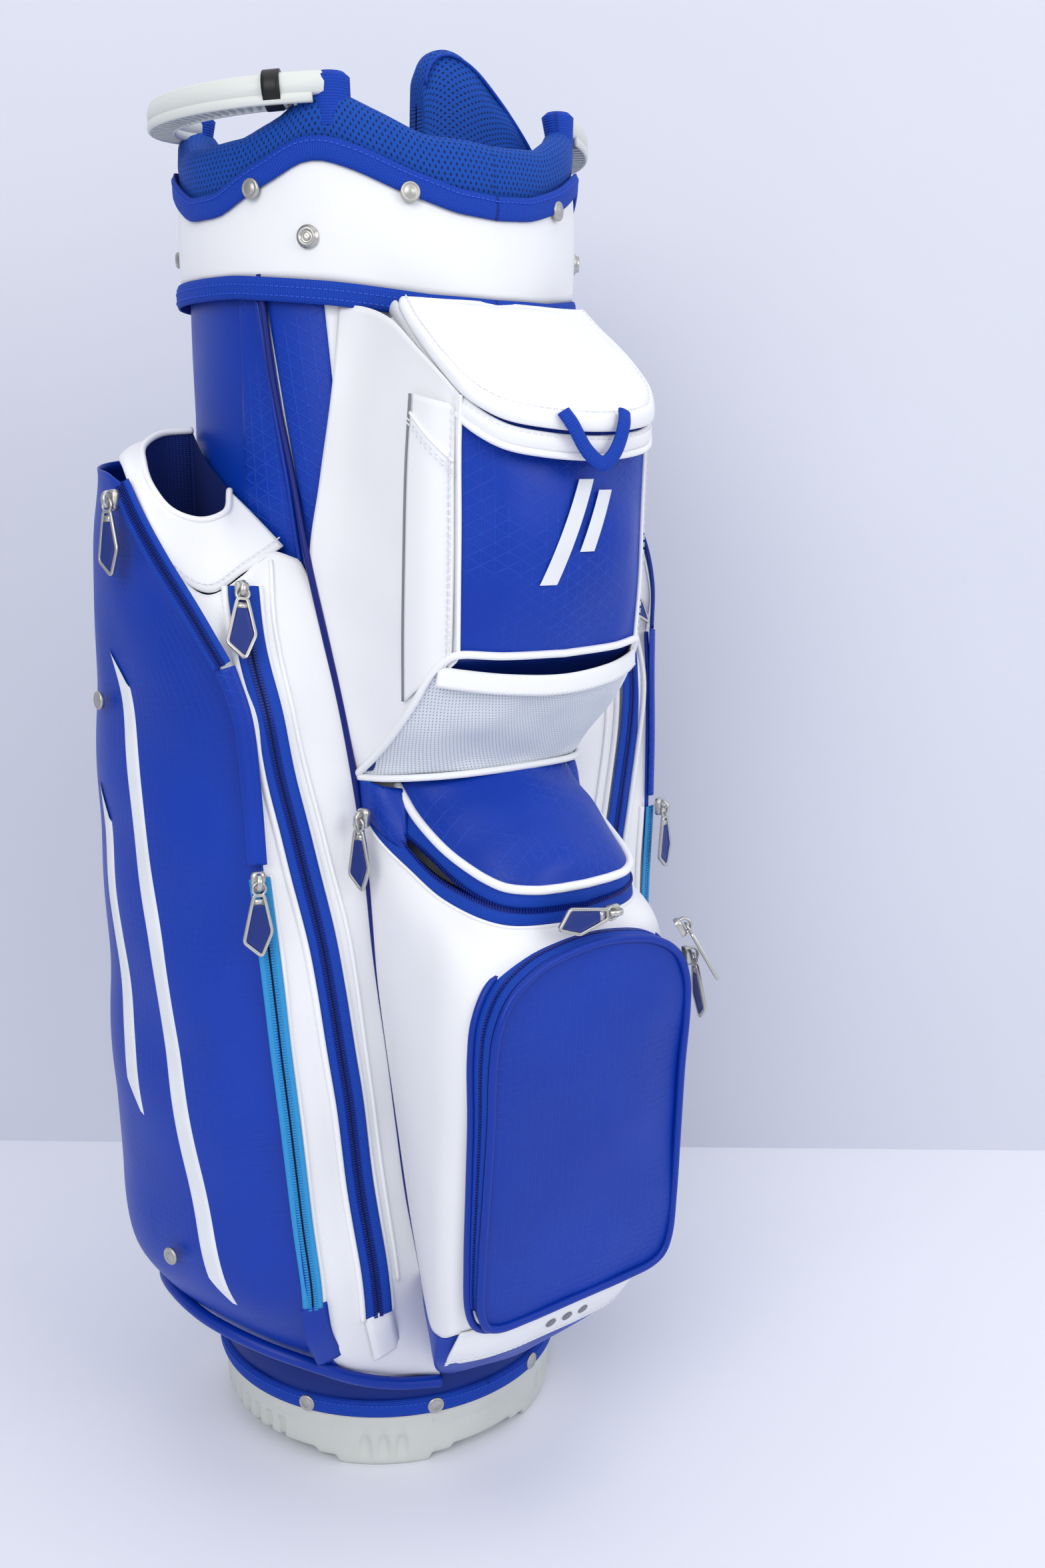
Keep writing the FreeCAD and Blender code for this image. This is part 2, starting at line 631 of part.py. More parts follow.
def build():
    base_moulding()
    ring("skirt", "sizes.skirt_radius", "sizes.skirt_inner", "sizes.cover_bottom",
         "(sizes.skirt_top - sizes.cover_bottom)")
    ring("skirt_binding", "sizes.skirt_radius + 2", "sizes.skirt_radius + 0.2", "40",
         "sizes.binding_height")
    group("base_rivets", cap_group("base_rivet", [(azimuth, 46, size("skirt_radius") + 2)
                                                  for azimuth in (-60, -19, 20, 61, 119, 160, 200, 241)],
                                   "sizes.rivet_radius", "sizes.rivet_height"))
    ring("barrel_tube", "sizes.tube_radius", "sizes.tube_radius - sizes.tube_wall", "sizes.tube_bottom",
         "(sizes.tube_top - sizes.tube_bottom)")
    ring("outer_cover", "sizes.cover_radius", "sizes.cover_inner", "sizes.cover_bottom",
         "(sizes.cover_top - sizes.cover_bottom)")
    stay_rods()
    divider_sheets()
    divider_pads()
    raised_divider_pad()
    ring("top_frame", "sizes.frame_outer", "sizes.frame_inner", "sizes.frame_bottom",
         "(sizes.frame_top - sizes.frame_bottom)")
    rim_pad()
    side_handle(-1, "handle_left")
    side_handle(1, "handle_right")
    handle_wraps()
    handle_clip()
    ring("collar", "sizes.collar_radius", "sizes.collar_inner", "sizes.collar_bottom",
         "(sizes.collar_top - sizes.collar_bottom)")
    ring("collar_top_binding", "sizes.collar_radius + 1", "sizes.collar_inner", "sizes.collar_top + 0.3",
         "sizes.binding_height")
    ring("collar_bottom_binding", "sizes.collar_radius + 1", "sizes.cover_radius + 0.5",
         "sizes.collar_bottom - sizes.binding_height - 0.3", "sizes.binding_height")
    group("collar_rivets", cap_group("collar_rivet", [(azimuth, 809, size("collar_radius") + 1.1)
                                                      for azimuth in (-67.5, -25, 25, 67.5, 155, 205)],
                                     "sizes.rivet_radius", "sizes.rivet_height"))
    hood_studs()
    back_panel()
    valuables_pocket()
    valuables_flap()
    flap_pull_loop()
    pen_pocket()
    mesh_pocket()
    mid_pocket()
    mid_lid()
    ball_pocket()
    ball_door()
    label_band()
    side_pocket(-1, "side_pocket_left")
    side_pocket(1, "side_pocket_right")
    side_zips(-1, "side_zips_left")
    side_zips(1, "side_zips_right")
    mid_zip()
    ball_zip()
    side_eyelets()
    zip_furniture()


def check_and_export():
    doc.recompute()
    for item in doc.Objects:
        if "Invalid" in item.State or "Error" in item.State:
            raise RuntimeError(f"{item.Label} failed: {item.State}")
    os.makedirs("parts", exist_ok=True)
    for label, item in nodes.items():
        if item.Shape.isNull() or not item.Shape.isValid() or not item.Shape.Solids:
            raise RuntimeError(f"{label} has no valid solid")
        item.Shape.exportStep(f"parts/{label}.step")
        print(f"{label}: {len(item.Shape.Solids)} solids, {item.Shape.Volume / 1000:.1f} cm3")
    print(len(nodes), "nodes")


build()
check_and_export()
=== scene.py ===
# A golf cart bag: the looks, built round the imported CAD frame.
# Lengths below are millimetres until a mesh is made.
import math

import bpy
import numpy as np
from mathutils import Matrix, Vector, noise


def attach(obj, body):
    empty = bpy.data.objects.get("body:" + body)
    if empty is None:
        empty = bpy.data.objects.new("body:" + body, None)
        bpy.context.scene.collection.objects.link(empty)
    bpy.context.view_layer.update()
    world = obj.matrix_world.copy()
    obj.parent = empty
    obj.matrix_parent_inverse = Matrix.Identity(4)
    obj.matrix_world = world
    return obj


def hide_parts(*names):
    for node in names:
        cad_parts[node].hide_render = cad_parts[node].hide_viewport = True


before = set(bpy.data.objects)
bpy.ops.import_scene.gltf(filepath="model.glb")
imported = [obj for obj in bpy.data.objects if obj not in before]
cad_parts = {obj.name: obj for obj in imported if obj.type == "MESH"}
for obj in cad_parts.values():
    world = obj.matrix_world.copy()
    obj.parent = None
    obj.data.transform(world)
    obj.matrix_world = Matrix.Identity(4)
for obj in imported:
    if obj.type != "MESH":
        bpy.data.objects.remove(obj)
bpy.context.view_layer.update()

MM = 0.001
FLAP_MIDDLE = (0, -166, 718)
SIDES = (-1, 1)


# ---------------------------------------------------------------- points, curves and grids

def P(*values):
    return np.array(values, float)


def unit(v):
    v = np.asarray(v, float)
    return v / np.maximum(np.linalg.norm(v, axis=-1, keepdims=True), 1e-9)


def mirror(points, side):
    # Left-hand points, brought to the side asked for: -1 keeps them, 1 mirrors them.
    made = np.array(points, float)
    made[..., 0] *= -side
    return made


def around(azimuth, radius, height):
    # A point about the barrel's axis: azimuth 0 is the front, negative is the bag's left.
    a = math.radians(azimuth)
    return P(radius * math.sin(a), -radius * math.cos(a), height)


def even(points, count, closed=False):
    # The polyline resampled to evenly spaced points.
    pts = np.asarray(points, float)
    if closed:
        pts = np.vstack([pts, pts[:1]])
    step = np.linalg.norm(np.diff(pts, axis=0), axis=1)
    length = np.concatenate([[0], np.cumsum(step)])
    where = np.linspace(0, length[-1], count + 1 if closed else count)
    made = np.column_stack([np.interp(where, length, pts[:, k]) for k in range(pts.shape[1])])
    return made[:-1] if closed else made


def spline(points, count, closed=False):
    # A Catmull-Rom curve through the points, resampled evenly.
    pts = np.asarray(points, float)
    if len(pts) < 3:
        return even(pts, count)
    if closed:
        ext = np.vstack([pts[-1:], pts, pts[:2]])
    else:
        ext = np.vstack([2 * pts[0] - pts[1], pts, 2 * pts[-1] - pts[-2]])
    fine = []
    for p0, p1, p2, p3 in zip(ext[:-3], ext[1:-2], ext[2:-1], ext[3:]):
        d1 = max(np.linalg.norm(p1 - p0), 1e-6) ** 0.5
        d2 = max(np.linalg.norm(p2 - p1), 1e-6) ** 0.5
        d3 = max(np.linalg.norm(p3 - p2), 1e-6) ** 0.5
        m1 = (p2 - p1) + d2 * ((p1 - p0) / d1 - (p2 - p0) / (d1 + d2))
        m2 = (p2 - p1) + d2 * ((p3 - p2) / d3 - (p3 - p1) / (d2 + d3))
        t = np.linspace(0, 1, 12, endpoint=False)[:, None]
        fine.append((2 * t**3 - 3 * t**2 + 1) * p1 + (t**3 - 2 * t**2 + t) * m1
                    + (-2 * t**3 + 3 * t**2) * p2 + (t**3 - t**2) * m2)
    if not closed:
        fine.append(pts[-1:])
    return even(np.vstack(fine), count, closed)


def length_of(points):
    return float(np.linalg.norm(np.diff(np.asarray(points), axis=0), axis=1).sum())


def patch(rows, across, along):
    # A smooth surface through rows of control points.
    lines = np.array([spline(row, across) for row in rows])
    made = np.zeros((along, across, 3))
    for k in range(across):
        made[:, k] = spline(lines[:, k], along)
    return made


def normals_of(grid, closed=False):
    du = np.gradient(grid, axis=1)
    if closed:
        du = (np.roll(grid, -1, axis=1) - np.roll(grid, 1, axis=1)) / 2
    dv = np.gradient(grid, axis=0)
    return unit(np.cross(du, dv))


def rise(count, width, power=0.6):
    # 0 at both ends, 1 in the middle, reached within the share `width`.
    t = np.linspace(0, 1, count)
    edge = np.clip(np.minimum(t, 1 - t) / width, 0, 1)
    return np.sin(edge * math.pi / 2) ** power


def puff(grid, height, width=0.25, power=0.7, outward=1.0):
    # Pushes the middle of a panel out and leaves its seams.
    dome = rise(grid.shape[0], width, power)[:, None] * rise(grid.shape[1], width, power)[None, :]
    return grid + normals_of(grid) * (dome * height * outward)[..., None]


def rumple(grid, height, scale, seed=0.0, hold=True, closed=False):
    # Soft unevenness along the normals, held flat at the seams.
    n = normals_of(grid, closed)
    bump = np.zeros(grid.shape[:2])
    for i in range(grid.shape[0]):
        for k in range(grid.shape[1]):
            q = grid[i, k] / scale
            bump[i, k] = noise.noise(Vector((q[0] + seed, q[1] - seed, q[2] + 2 * seed)))
    if hold:
        bump *= rise(grid.shape[0], 0.12, 1.0)[:, None] * rise(grid.shape[1], 0.12, 1.0)[None, :]
    return grid + n * (bump * height)[..., None]


# ---------------------------------------------------------------- meshes

def mesh_object(name, verts, faces, uvs=None, smooth=True):
    data = bpy.data.meshes.new(name)
    data.from_pydata([tuple(v) for v in np.asarray(verts) * MM], [], [tuple(f) for f in faces])
    if uvs is not None:
        layer = data.uv_layers.new(name="UVMap")
        corner = np.zeros(len(data.loops), np.int32)
        data.loops.foreach_get("vertex_index", corner)
        layer.data.foreach_set("uv", np.asarray(uvs, float)[corner].ravel())
    data.polygons.foreach_set("use_smooth", [smooth] * len(data.polygons))
    data.update()
    made = bpy.data.objects.new(name, data)
    bpy.context.scene.collection.objects.link(made)
    return made


def grid_uv(grid):
    # Millimetres along the rows and up the columns, measured on the middle row and column.
    rows, cols = grid.shape[:2]
    mid_row, mid_col = grid[rows // 2], grid[:, cols // 2]
    u = np.concatenate([[0], np.cumsum(np.linalg.norm(np.diff(mid_row, axis=0), axis=1))])
    v = np.concatenate([[0], np.cumsum(np.linalg.norm(np.diff(mid_col, axis=0), axis=1))])
    return np.stack(np.meshgrid(u - u[-1] / 2, v, indexing="xy"), axis=-1).reshape(-1, 2)


def grid_object(name, grid, closed=False, uvs=None, flip=False):
    rows, cols = grid.shape[:2]
    faces = []
    for i in range(rows - 1):
        for k in range(cols if closed else cols - 1):
            n = (k + 1) % cols
            quad = (i * cols + k, i * cols + n, (i + 1) * cols + n, (i + 1) * cols + k)
            faces.append(quad[::-1] if flip else quad)
    if uvs is None:
        uvs = grid_uv(grid)
    return mesh_object(name, grid.reshape(-1, 3), faces, uvs)


def thick(obj, depth, offset=-1.0):
    # Gives a sheet a back, inside its front unless offset says otherwise.
    change = obj.modifiers.new("thickness", "SOLIDIFY")
    change.thickness = depth * MM
    change.offset = offset
    return obj


def merged(name, parts, uvs=None, smooth=False):
    # Many small copies in one mesh: parts are (vertices, faces) pairs.
    verts, faces, start = [], [], 0
    for v, f in parts:
        verts.append(np.asarray(v))
        faces += [tuple(i + start for i in face) for face in f]
        start += len(v)
    return mesh_object(name, np.vstack(verts), faces, uvs, smooth)


def frames_along(path, outward, closed=False):
    # Tangent, sideways and outward directions at each point of a path.
    pts = np.asarray(path, float)
    if closed:
        along = unit(np.roll(pts, -1, axis=0) - np.roll(pts, 1, axis=0))
    else:
        along = unit(np.gradient(pts, axis=0))
    out = np.broadcast_to(np.asarray(outward, float), pts.shape)
    out = unit(out - along * (out * along).sum(1)[:, None])
    return along, unit(np.cross(along, out)), out


def sweep_data(path, outward, profile, closed=False):
    # A section, given as (sideways, outward) pairs, carried along a path.
    pts = np.asarray(path, float)
    _, side, out = frames_along(pts, outward, closed)
    section = np.asarray(profile, float)
    grid = pts[:, None] + side[:, None] * section[None, :, :1] + out[:, None] * section[None, :, 1:]
    rows, cols = len(pts), len(section)
    faces = []
    for i in range(rows if closed else rows - 1):
        j = (i + 1) % rows
        for k in range(cols):
            n = (k + 1) % cols
            faces.append((i * cols + k, i * cols + n, j * cols + n, j * cols + k))
    if not closed:
        faces.append(tuple(range(cols))[::-1])
        faces.append(tuple((rows - 1) * cols + k for k in range(cols)))
    run = np.concatenate([[0], np.cumsum(np.linalg.norm(np.diff(pts, axis=0), axis=1))])
    loop = np.linalg.norm(np.diff(section, axis=0, append=section[:1]), axis=1)
    girth = np.concatenate([[0], np.cumsum(loop)[:-1]])
    uv = np.stack(np.meshgrid(girth, run, indexing="xy"), axis=-1).reshape(-1, 2)
    return grid.reshape(-1, 3), faces, uv


def sweep(name, path, outward, profile, closed=False, smooth=True):
    verts, faces, uv = sweep_data(path, outward, profile, closed)
    return mesh_object(name, verts, faces, uv, smooth)


def round_section(radius, flat=1.0, count=10):
    turn = np.linspace(0, 2 * math.pi, count, endpoint=False)
    return np.column_stack([radius * np.cos(turn), radius * flat * np.sin(turn)])


def strip_section(width, height, bulge=0.0, steps=5):
    # A flat band with softly rounded edges, `height` thick.
    x = np.linspace(-width / 2, width / 2, steps)
    top = height + bulge * (1 - (2 * x / width) ** 2)
    top[0] -= height * 0.35
    top[-1] -= height * 0.35
    return np.vstack([np.column_stack([x, top]), np.column_stack([x[::-1], np.zeros(steps)])])


def outward_of(points, centre_y=0.0):
    # Horizontal directions away from the barrel's axis.
    pts = np.asarray(points, float)
    return unit(np.column_stack([pts[:, 0], pts[:, 1] - centre_y, np.zeros(len(pts))]))


BLOCK = np.array([(x, y, z) for z in (0, 1) for y in (-0.5, 0.5) for x in (-0.5, 0.5)], float)
BLOCK_FACES = [(0, 2, 3, 1), (4, 5, 7, 6), (0, 1, 5, 4), (2, 6, 7, 3), (0, 4, 6, 2), (1, 3, 7, 5)]


def small_blocks(path, outward, spacing, size, lift=0.0, shift=0.0, tilt=0.0):
    # Little blocks at even steps along a path: size is (sideways, along, outward).
    count = max(int(length_of(path) / spacing), 2)
    pts = even(path, count)
    if np.ndim(outward) == 2:
        outward = even(outward, count)
    along, side, out = frames_along(pts, outward)
    blocks = []
    lean = math.tan(math.radians(tilt))
    for p, a, s, o in zip(pts, along, side, out):
        local = BLOCK * size
        local[:, 0] = local[:, 0] + local[:, 1] * lean
        blocks.append((p + s * shift + o * lift + local[:, :1] * s + local[:, 1:2] * a + local[:, 2:] * o,
                       BLOCK_FACES))
    return blocks


def disc_data(centre, direction, rings, turns=28):
    # A turned button: rings are (radius, height) pairs from rim to middle.
    out = unit(direction)
    helper = P(0, 0, 1) if abs(out[2]) < 0.9 else P(1, 0, 0)
    a = unit(np.cross(helper, out))
    b = np.cross(out, a)
    angle = np.linspace(0, 2 * math.pi, turns, endpoint=False)
    circle = np.cos(angle)[:, None] * a + np.sin(angle)[:, None] * b
    verts = np.vstack([centre + circle * r + out * h for r, h in rings])
    faces = []
    for i in range(len(rings) - 1):
        for k in range(turns):
            n = (k + 1) % turns
            faces.append((i * turns + k, i * turns + n, (i + 1) * turns + n, (i + 1) * turns + k))
    last = (len(rings) - 1) * turns
    faces.append(tuple(last + k for k in range(turns)))
    return verts, faces


def revolve_grid(rows, azimuths):
    # rows are (radius, height) pairs, or functions of azimuth that give them.
    made = []
    for row in rows:
        ring = [around(a, *(row(a) if callable(row) else row)) for a in azimuths]
        made.append(ring)
    return np.array(made)


def finish_piece(obj, body, material, slot=None, nodes=()):
    obj.data.materials.clear()
    obj.data.materials.append(material)
    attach(obj, body)
    if nodes:
        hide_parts(*nodes)
    return obj


# ---------------------------------------------------------------- materials

class Nodes:
    # Short words for a material's node tree.

    def __init__(self, name):
        self.material = bpy.data.materials.new(name)
        self.material.use_nodes = True
        self.tree = self.material.node_tree
        self.surface = self.tree.nodes["Principled BSDF"]
        self.surface.inputs["Specular IOR Level"].default_value = 0.3

    def node(self, kind, **settings):
        made = self.tree.nodes.new(kind)
        for key, value in settings.items():
            setattr(made, key, value)
        return made

    def join(self, value, socket):
        if isinstance(value, bpy.types.NodeSocket):
            self.tree.links.new(value, socket)
        else:
            socket.default_value = value

    def math(self, operation, *values):
        made = self.node("ShaderNodeMath", operation=operation)
        for value, socket in zip(values, made.inputs):
            self.join(value, socket)
        return made.outputs[0]

    def smooth(self, value, low, high):
        made = self.node("ShaderNodeMapRange", interpolation_type="SMOOTHSTEP")
        self.join(value, made.inputs["Value"])
        made.inputs["From Min"].default_value = low
        made.inputs["From Max"].default_value = high
        return made.outputs["Result"]

    def mix(self, share, a, b):
        made = self.node("ShaderNodeMix", data_type="RGBA")
        self.join(share, made.inputs["Factor"])
        self.join(a, made.inputs["A"])
        self.join(b, made.inputs["B"])
        return made.outputs["Result"]

    def uv(self):
        place = self.node("ShaderNodeUVMap", uv_map="UVMap")
        split = self.node("ShaderNodeSeparateXYZ")
        self.tree.links.new(place.outputs[0], split.inputs[0])
        return split.outputs["X"], split.outputs["Y"]

    def place(self):
        return self.node("ShaderNodeTexCoord").outputs["Object"]

    def noise(self, scale, detail=3.0, stretch=None):
        made = self.node("ShaderNodeTexNoise")
        made.inputs["Scale"].default_value = scale
        made.inputs["Detail"].default_value = detail
        source = self.place()
        if stretch:
            bend = self.node("ShaderNodeMapping")
            bend.inputs["Scale"].default_value = stretch
            self.tree.links.new(source, bend.inputs["Vector"])
            source = bend.outputs[0]
        self.tree.links.new(source, made.inputs["Vector"])
        return made.outputs["Fac"]

    def cells(self, scale):
        made = self.node("ShaderNodeTexVoronoi", feature="F1")
        made.inputs["Scale"].default_value = scale
        self.tree.links.new(self.place(), made.inputs["Vector"])
        return made.outputs["Distance"]

    def bump(self, height, distance, strength=1.0):
        # Adds one more layer of relief, distance in millimetres.
        made = self.node("ShaderNodeBump")
        made.inputs["Strength"].default_value = strength
        made.inputs["Distance"].default_value = distance * MM
        self.join(height, made.inputs["Height"])
        before = self.surface.inputs["Normal"]
        if before.is_linked:
            self.tree.links.new(before.links[0].from_socket, made.inputs["Normal"])
        self.tree.links.new(made.outputs[0], before)

    def color(self, value):
        self.join(value, self.surface.inputs["Base Color"])

    def rough(self, value):
        self.join(value, self.surface.inputs["Roughness"])

    def wave(self, value, pitch):
        # A smooth 0 to 1 ripple of that pitch.
        turned = self.math("MULTIPLY", value, 2 * math.pi / pitch)
        return self.math("MULTIPLY_ADD", self.math("SINE", turned), 0.5, 0.5)

    def line(self, value, pitch, half_width):
        # 1 on thin lines at every pitch, 0 between them.
        near = self.math("PINGPONG", value, pitch / 2)
        return self.math("SUBTRACT", 1.0, self.smooth(near, half_width * 0.4, half_width))


def rgb(red, green, blue):
    return (red, green, blue, 1.0)


ROYAL = rgb(0.0, 0.030, 0.33)
DEEP = rgb(0.001, 0.009, 0.16)
BRIGHT = rgb(0.0, 0.060, 0.50)
WHITE = rgb(0.84, 0.85, 0.88)
CYAN = rgb(0.035, 0.33, 0.68)


def soft_light(n, amount, tint):
    n.surface.inputs["Sheen Weight"].default_value = amount
    n.surface.inputs["Sheen Roughness"].default_value = 0.45
    n.surface.inputs["Sheen Tint"].default_value = tint


def blue_coated(name, pattern=None):
    # Coated royal-blue fabric: a fine weave, and on some panels an embossed pattern.
    n = Nodes(name)
    u, v = n.uv()
    shade = n.mix(n.smooth(n.noise(9.0), 0.3, 0.7), ROYAL, rgb(0.0, 0.036, 0.38))
    weave = n.math("MULTIPLY", n.wave(u, 0.9), n.wave(v, 0.9))
    n.bump(weave, 0.05, 0.5)
    n.bump(n.noise(420.0, 2.0), 0.03, 0.5)
    if pattern == "facets":
        pitch = 7.6
        third = n.math("MULTIPLY", v, 0.866)
        half = n.math("MULTIPLY", u, 0.5)
        ways = [u, n.math("ADD", half, third), n.math("SUBTRACT", half, third)]
        marks = [n.line(way, pitch, 0.55) for way in ways]
        broken = n.math("MAXIMUM", marks[0], n.math("MAXIMUM", marks[1], marks[2]))
        fade = n.smooth(n.noise(14.0, 2.0), 0.40, 0.58)
        shown = n.math("MULTIPLY", broken, fade)
        n.bump(shown, 0.35, 0.9)
        shade = n.mix(n.math("MULTIPLY", shown, 0.55), shade, rgb(0.008, 0.07, 0.52))
    if pattern == "ripstop":
        grid = n.math("MAXIMUM", n.line(u, 5.2, 0.45), n.line(v, 4.4, 0.45))
        fine = n.math("MULTIPLY", grid, n.smooth(n.noise(16.0, 2.0), 0.35, 0.6))
        n.bump(fine, 0.16, 0.8)
        shade = n.mix(n.math("MULTIPLY", fine, 0.22), shade, rgb(0.004, 0.045, 0.42))
    n.color(shade)
    n.rough(n.math("MULTIPLY_ADD", n.noise(30.0), 0.16, 0.34))
    soft_light(n, 0.08, rgb(0.05, 0.2, 1.0))
    return n.material


def leather(name, tone=WHITE, shine=0.42, crease=0.35):
    # Coated leather cloth with a fine grain and slow unevenness.
    n = Nodes(name)
    patchy = n.smooth(n.noise(7.0, 4.0), 0.35, 0.75)
    darker = tuple(c * 0.955 for c in tone[:3]) + (1.0,)
    n.color(n.mix(patchy, tone, darker))
    n.bump(n.cells(900.0), 0.06, 0.45)
    n.bump(n.noise(160.0, 4.0), 0.10, 0.3)
    n.bump(n.noise(22.0, 3.0, (1.0, 1.0, 0.35)), crease * 2.2, 0.35)
    n.rough(n.math("MULTIPLY_ADD", n.noise(60.0), 0.12, shine))
    return n.material


def webbing(name, base, light, pitch=1.5):
    # Woven tape: staggered ribs across it.
    n = Nodes(name)
    u, v = n.uv()
    ribs = n.wave(v, pitch)
    rows = n.wave(n.math("ADD", u, n.math("MULTIPLY", v, 0.5)), pitch * 1.25)
    weave = n.math("MULTIPLY", ribs, n.math("MULTIPLY_ADD", rows, 0.6, 0.4))
    n.bump(weave, 0.4, 0.8)
    n.bump(n.noise(900.0, 2.0), 0.08, 0.6)
    n.color(n.mix(weave, base, light))
    n.rough(0.72)
    soft_light(n, 0.1, rgb(0.05, 0.2, 1.0))
    return n.material


def holed_cloth(name, thread, hole, pitch, open_share, depth, rough=0.75):
    # A knit with holes in a honeycomb order.
    n = Nodes(name)
    u, v = n.uv()
    across = n.math("MULTIPLY", u, 2 * math.pi / pitch)
    up = n.math("MULTIPLY", v, 2 * math.pi / (pitch * 1.732))
    a = n.math("COSINE", across)
    b = n.math("COSINE", up)
    spots = n.math("MULTIPLY", a, b)
    low = 1.0 - open_share * 2
    inside = n.smooth(n.math("ABSOLUTE", spots), low, low + 0.28)
    inside = n.math("MULTIPLY", inside, n.smooth(spots, -0.02, 0.02))
    other = n.math("MULTIPLY", n.math("COSINE", n.math("ADD", across, math.pi)), n.math("COSINE", up))
    ring = n.smooth(n.math("MULTIPLY", other, -1.0), low, low + 0.28)
    pits = n.math("MAXIMUM", inside, n.math("MULTIPLY", ring, n.smooth(spots, -0.02, 0.02)))
    n.color(n.mix(pits, thread, hole))
    n.bump(n.math("SUBTRACT", 1.0, pits), depth, 0.9)
    n.bump(n.noise(1400.0, 1.0), 0.1, 0.5)
    n.rough(rough)
    soft_light(n, 0.2, thread)
    return n.material


def knit_lining():
    n = Nodes("knit_lining")
    u, v = n.uv()
    loops = n.math("MULTIPLY", n.wave(u, 2.4), n.wave(v, 1.3))
    n.color(n.mix(loops, rgb(0.001, 0.008, 0.09), rgb(0.003, 0.03, 0.26)))
    n.bump(loops, 0.5, 0.8)
    n.rough(0.85)
    return n.material


def zip_cloth(name, base, light):
    # Zip tape: fine twill running at a slant.
    n = Nodes(name)
    u, v = n.uv()
    slant = n.wave(n.math("ADD", v, n.math("MULTIPLY", u, 0.6)), 1.0)
    n.color(n.mix(slant, base, light))
    n.bump(slant, 0.18, 0.7)
    n.rough(0.66)
    soft_light(n, 0.2, light)
    return n.material


def moulded(name, tone, rough, grain):
    n = Nodes(name)
    worn = n.smooth(n.noise(26.0, 5.0), 0.45, 0.8)
    n.color(n.mix(n.math("MULTIPLY", worn, 0.5), tone, tuple(c * 0.86 for c in tone[:3]) + (1.0,)))
    n.bump(n.noise(520.0, 3.0), grain, 0.5)
    n.rough(n.math("MULTIPLY_ADD", n.noise(40.0), 0.14, rough))
    return n.material


def metal(name, tone, rough):
    n = Nodes(name)
    n.surface.inputs["Metallic"].default_value = 1.0
    n.color(n.mix(n.noise(120.0), tone, tuple(c * 0.8 for c in tone[:3]) + (1.0,)))
    n.bump(n.noise(900.0, 2.0), 0.02, 0.4)
    n.rough(n.math("MULTIPLY_ADD", n.noise(200.0), 0.15, rough))
    return n.material


def plain(name, tone, rough=0.6, fine=300.0):
    n = Nodes(name)
    n.color(n.mix(n.noise(50.0), tone, tuple(c * 0.85 for c in tone[:3]) + (1.0,)))
    n.bump(n.noise(fine, 2.0), 0.05, 0.5)
    n.rough(rough)
    return n.material


M = {
    "blue": blue_coated("blue_coated"),
    "facets": blue_coated("blue_facets", "facets"),
    "ripstop": blue_coated("blue_ripstop", "ripstop"),
    "skirt": plain("skirt_cloth", rgb(0.0, 0.020, 0.21), 0.5),
    "white": leather("white_leather"),
    "trim": leather("white_trim", rgb(0.86, 0.87, 0.89), 0.36, 0.1),
    "binding": webbing("binding_tape", rgb(0.0, 0.032, 0.33), BRIGHT),
    "spacer": holed_cloth("spacer_mesh", rgb(0.0, 0.06, 0.38), rgb(0.002, 0.008, 0.07), 3.3, 0.26, 0.9),
    "knit": holed_cloth("knit_mesh", rgb(0.66, 0.70, 0.76), rgb(0.22, 0.27, 0.40), 2.1, 0.20, 0.4),
    "lining": knit_lining(),
    "tape": zip_cloth("zip_tape_blue", rgb(0.0, 0.030, 0.28), BRIGHT),
    "cyan": zip_cloth("zip_tape_cyan", rgb(0.02, 0.24, 0.56), CYAN),
    "teeth": plain("zip_teeth_blue", rgb(0.001, 0.015, 0.22), 0.38),
    "cyan_teeth": plain("zip_teeth_cyan", rgb(0.025, 0.27, 0.62), 0.38),
    "base": moulded("base_plastic", rgb(0.60, 0.62, 0.59), 0.46, 0.06),
    "handle": moulded("handle_plastic", rgb(0.66, 0.69, 0.67), 0.34, 0.03),
    "metal": metal("brushed_metal", rgb(0.62, 0.61, 0.58), 0.28),
    "cap": metal("cap_metal", rgb(0.55, 0.54, 0.51), 0.36),
    "inset": plain("pull_inset", rgb(0.012, 0.03, 0.20), 0.45),
    "black": plain("black_rubber", rgb(0.010, 0.010, 0.012), 0.42),
    # Near black: given to the interior frame parts, and used as painted shade in the gaps between zip teeth
    # and inside the mid pocket.
    "dark": plain("dark_interior_and_painted_shade", rgb(0.006, 0.010, 0.03), 0.8),
    "piping": leather("blue_piping", ROYAL, 0.34, 0.05),
    "deep": leather("deep_blue_piping", DEEP, 0.36, 0.05),
    "thread": plain("white_thread", rgb(0.80, 0.82, 0.86), 0.6),
    "blue_thread": plain("blue_thread", rgb(0.02, 0.09, 0.60), 0.6),
    "print": plain("pale_print", rgb(0.80, 0.83, 0.88), 0.45),
    "grey_print": plain("grey_print", rgb(0.22, 0.23, 0.27), 0.5),
}


def show(name, grid, body, material, slot=None, nodes=(), closed=False, depth=0.0, flip=False, uvs=None):
    obj = grid_object(name, grid, closed, uvs, flip)
    if depth:
        thick(obj, depth)
    return finish_piece(obj, body, M[material], slot, nodes)


def run(name, path, outward, section, body, material, slot=None, nodes=(), closed=False):
    obj = sweep(name, path, outward, section, closed)
    return finish_piece(obj, body, M[material], slot, nodes)


def bits(name, parts, body, material, slot=None, nodes=(), smooth=False):
    obj = merged(name, parts, None, smooth)
    return finish_piece(obj, body, M[material], slot, nodes)


def stitches(path, outward, lift=0.15, spacing=3.6, shift=0.0, tilt=0.0):
    return small_blocks(path, outward, spacing, P(0.65, spacing * 0.66, 0.5), lift, shift, tilt)


# ---------------------------------------------------------------- base and skirt

AZ = np.linspace(0, 360, 361)[:-1]


FOOT_TURN = 35.5


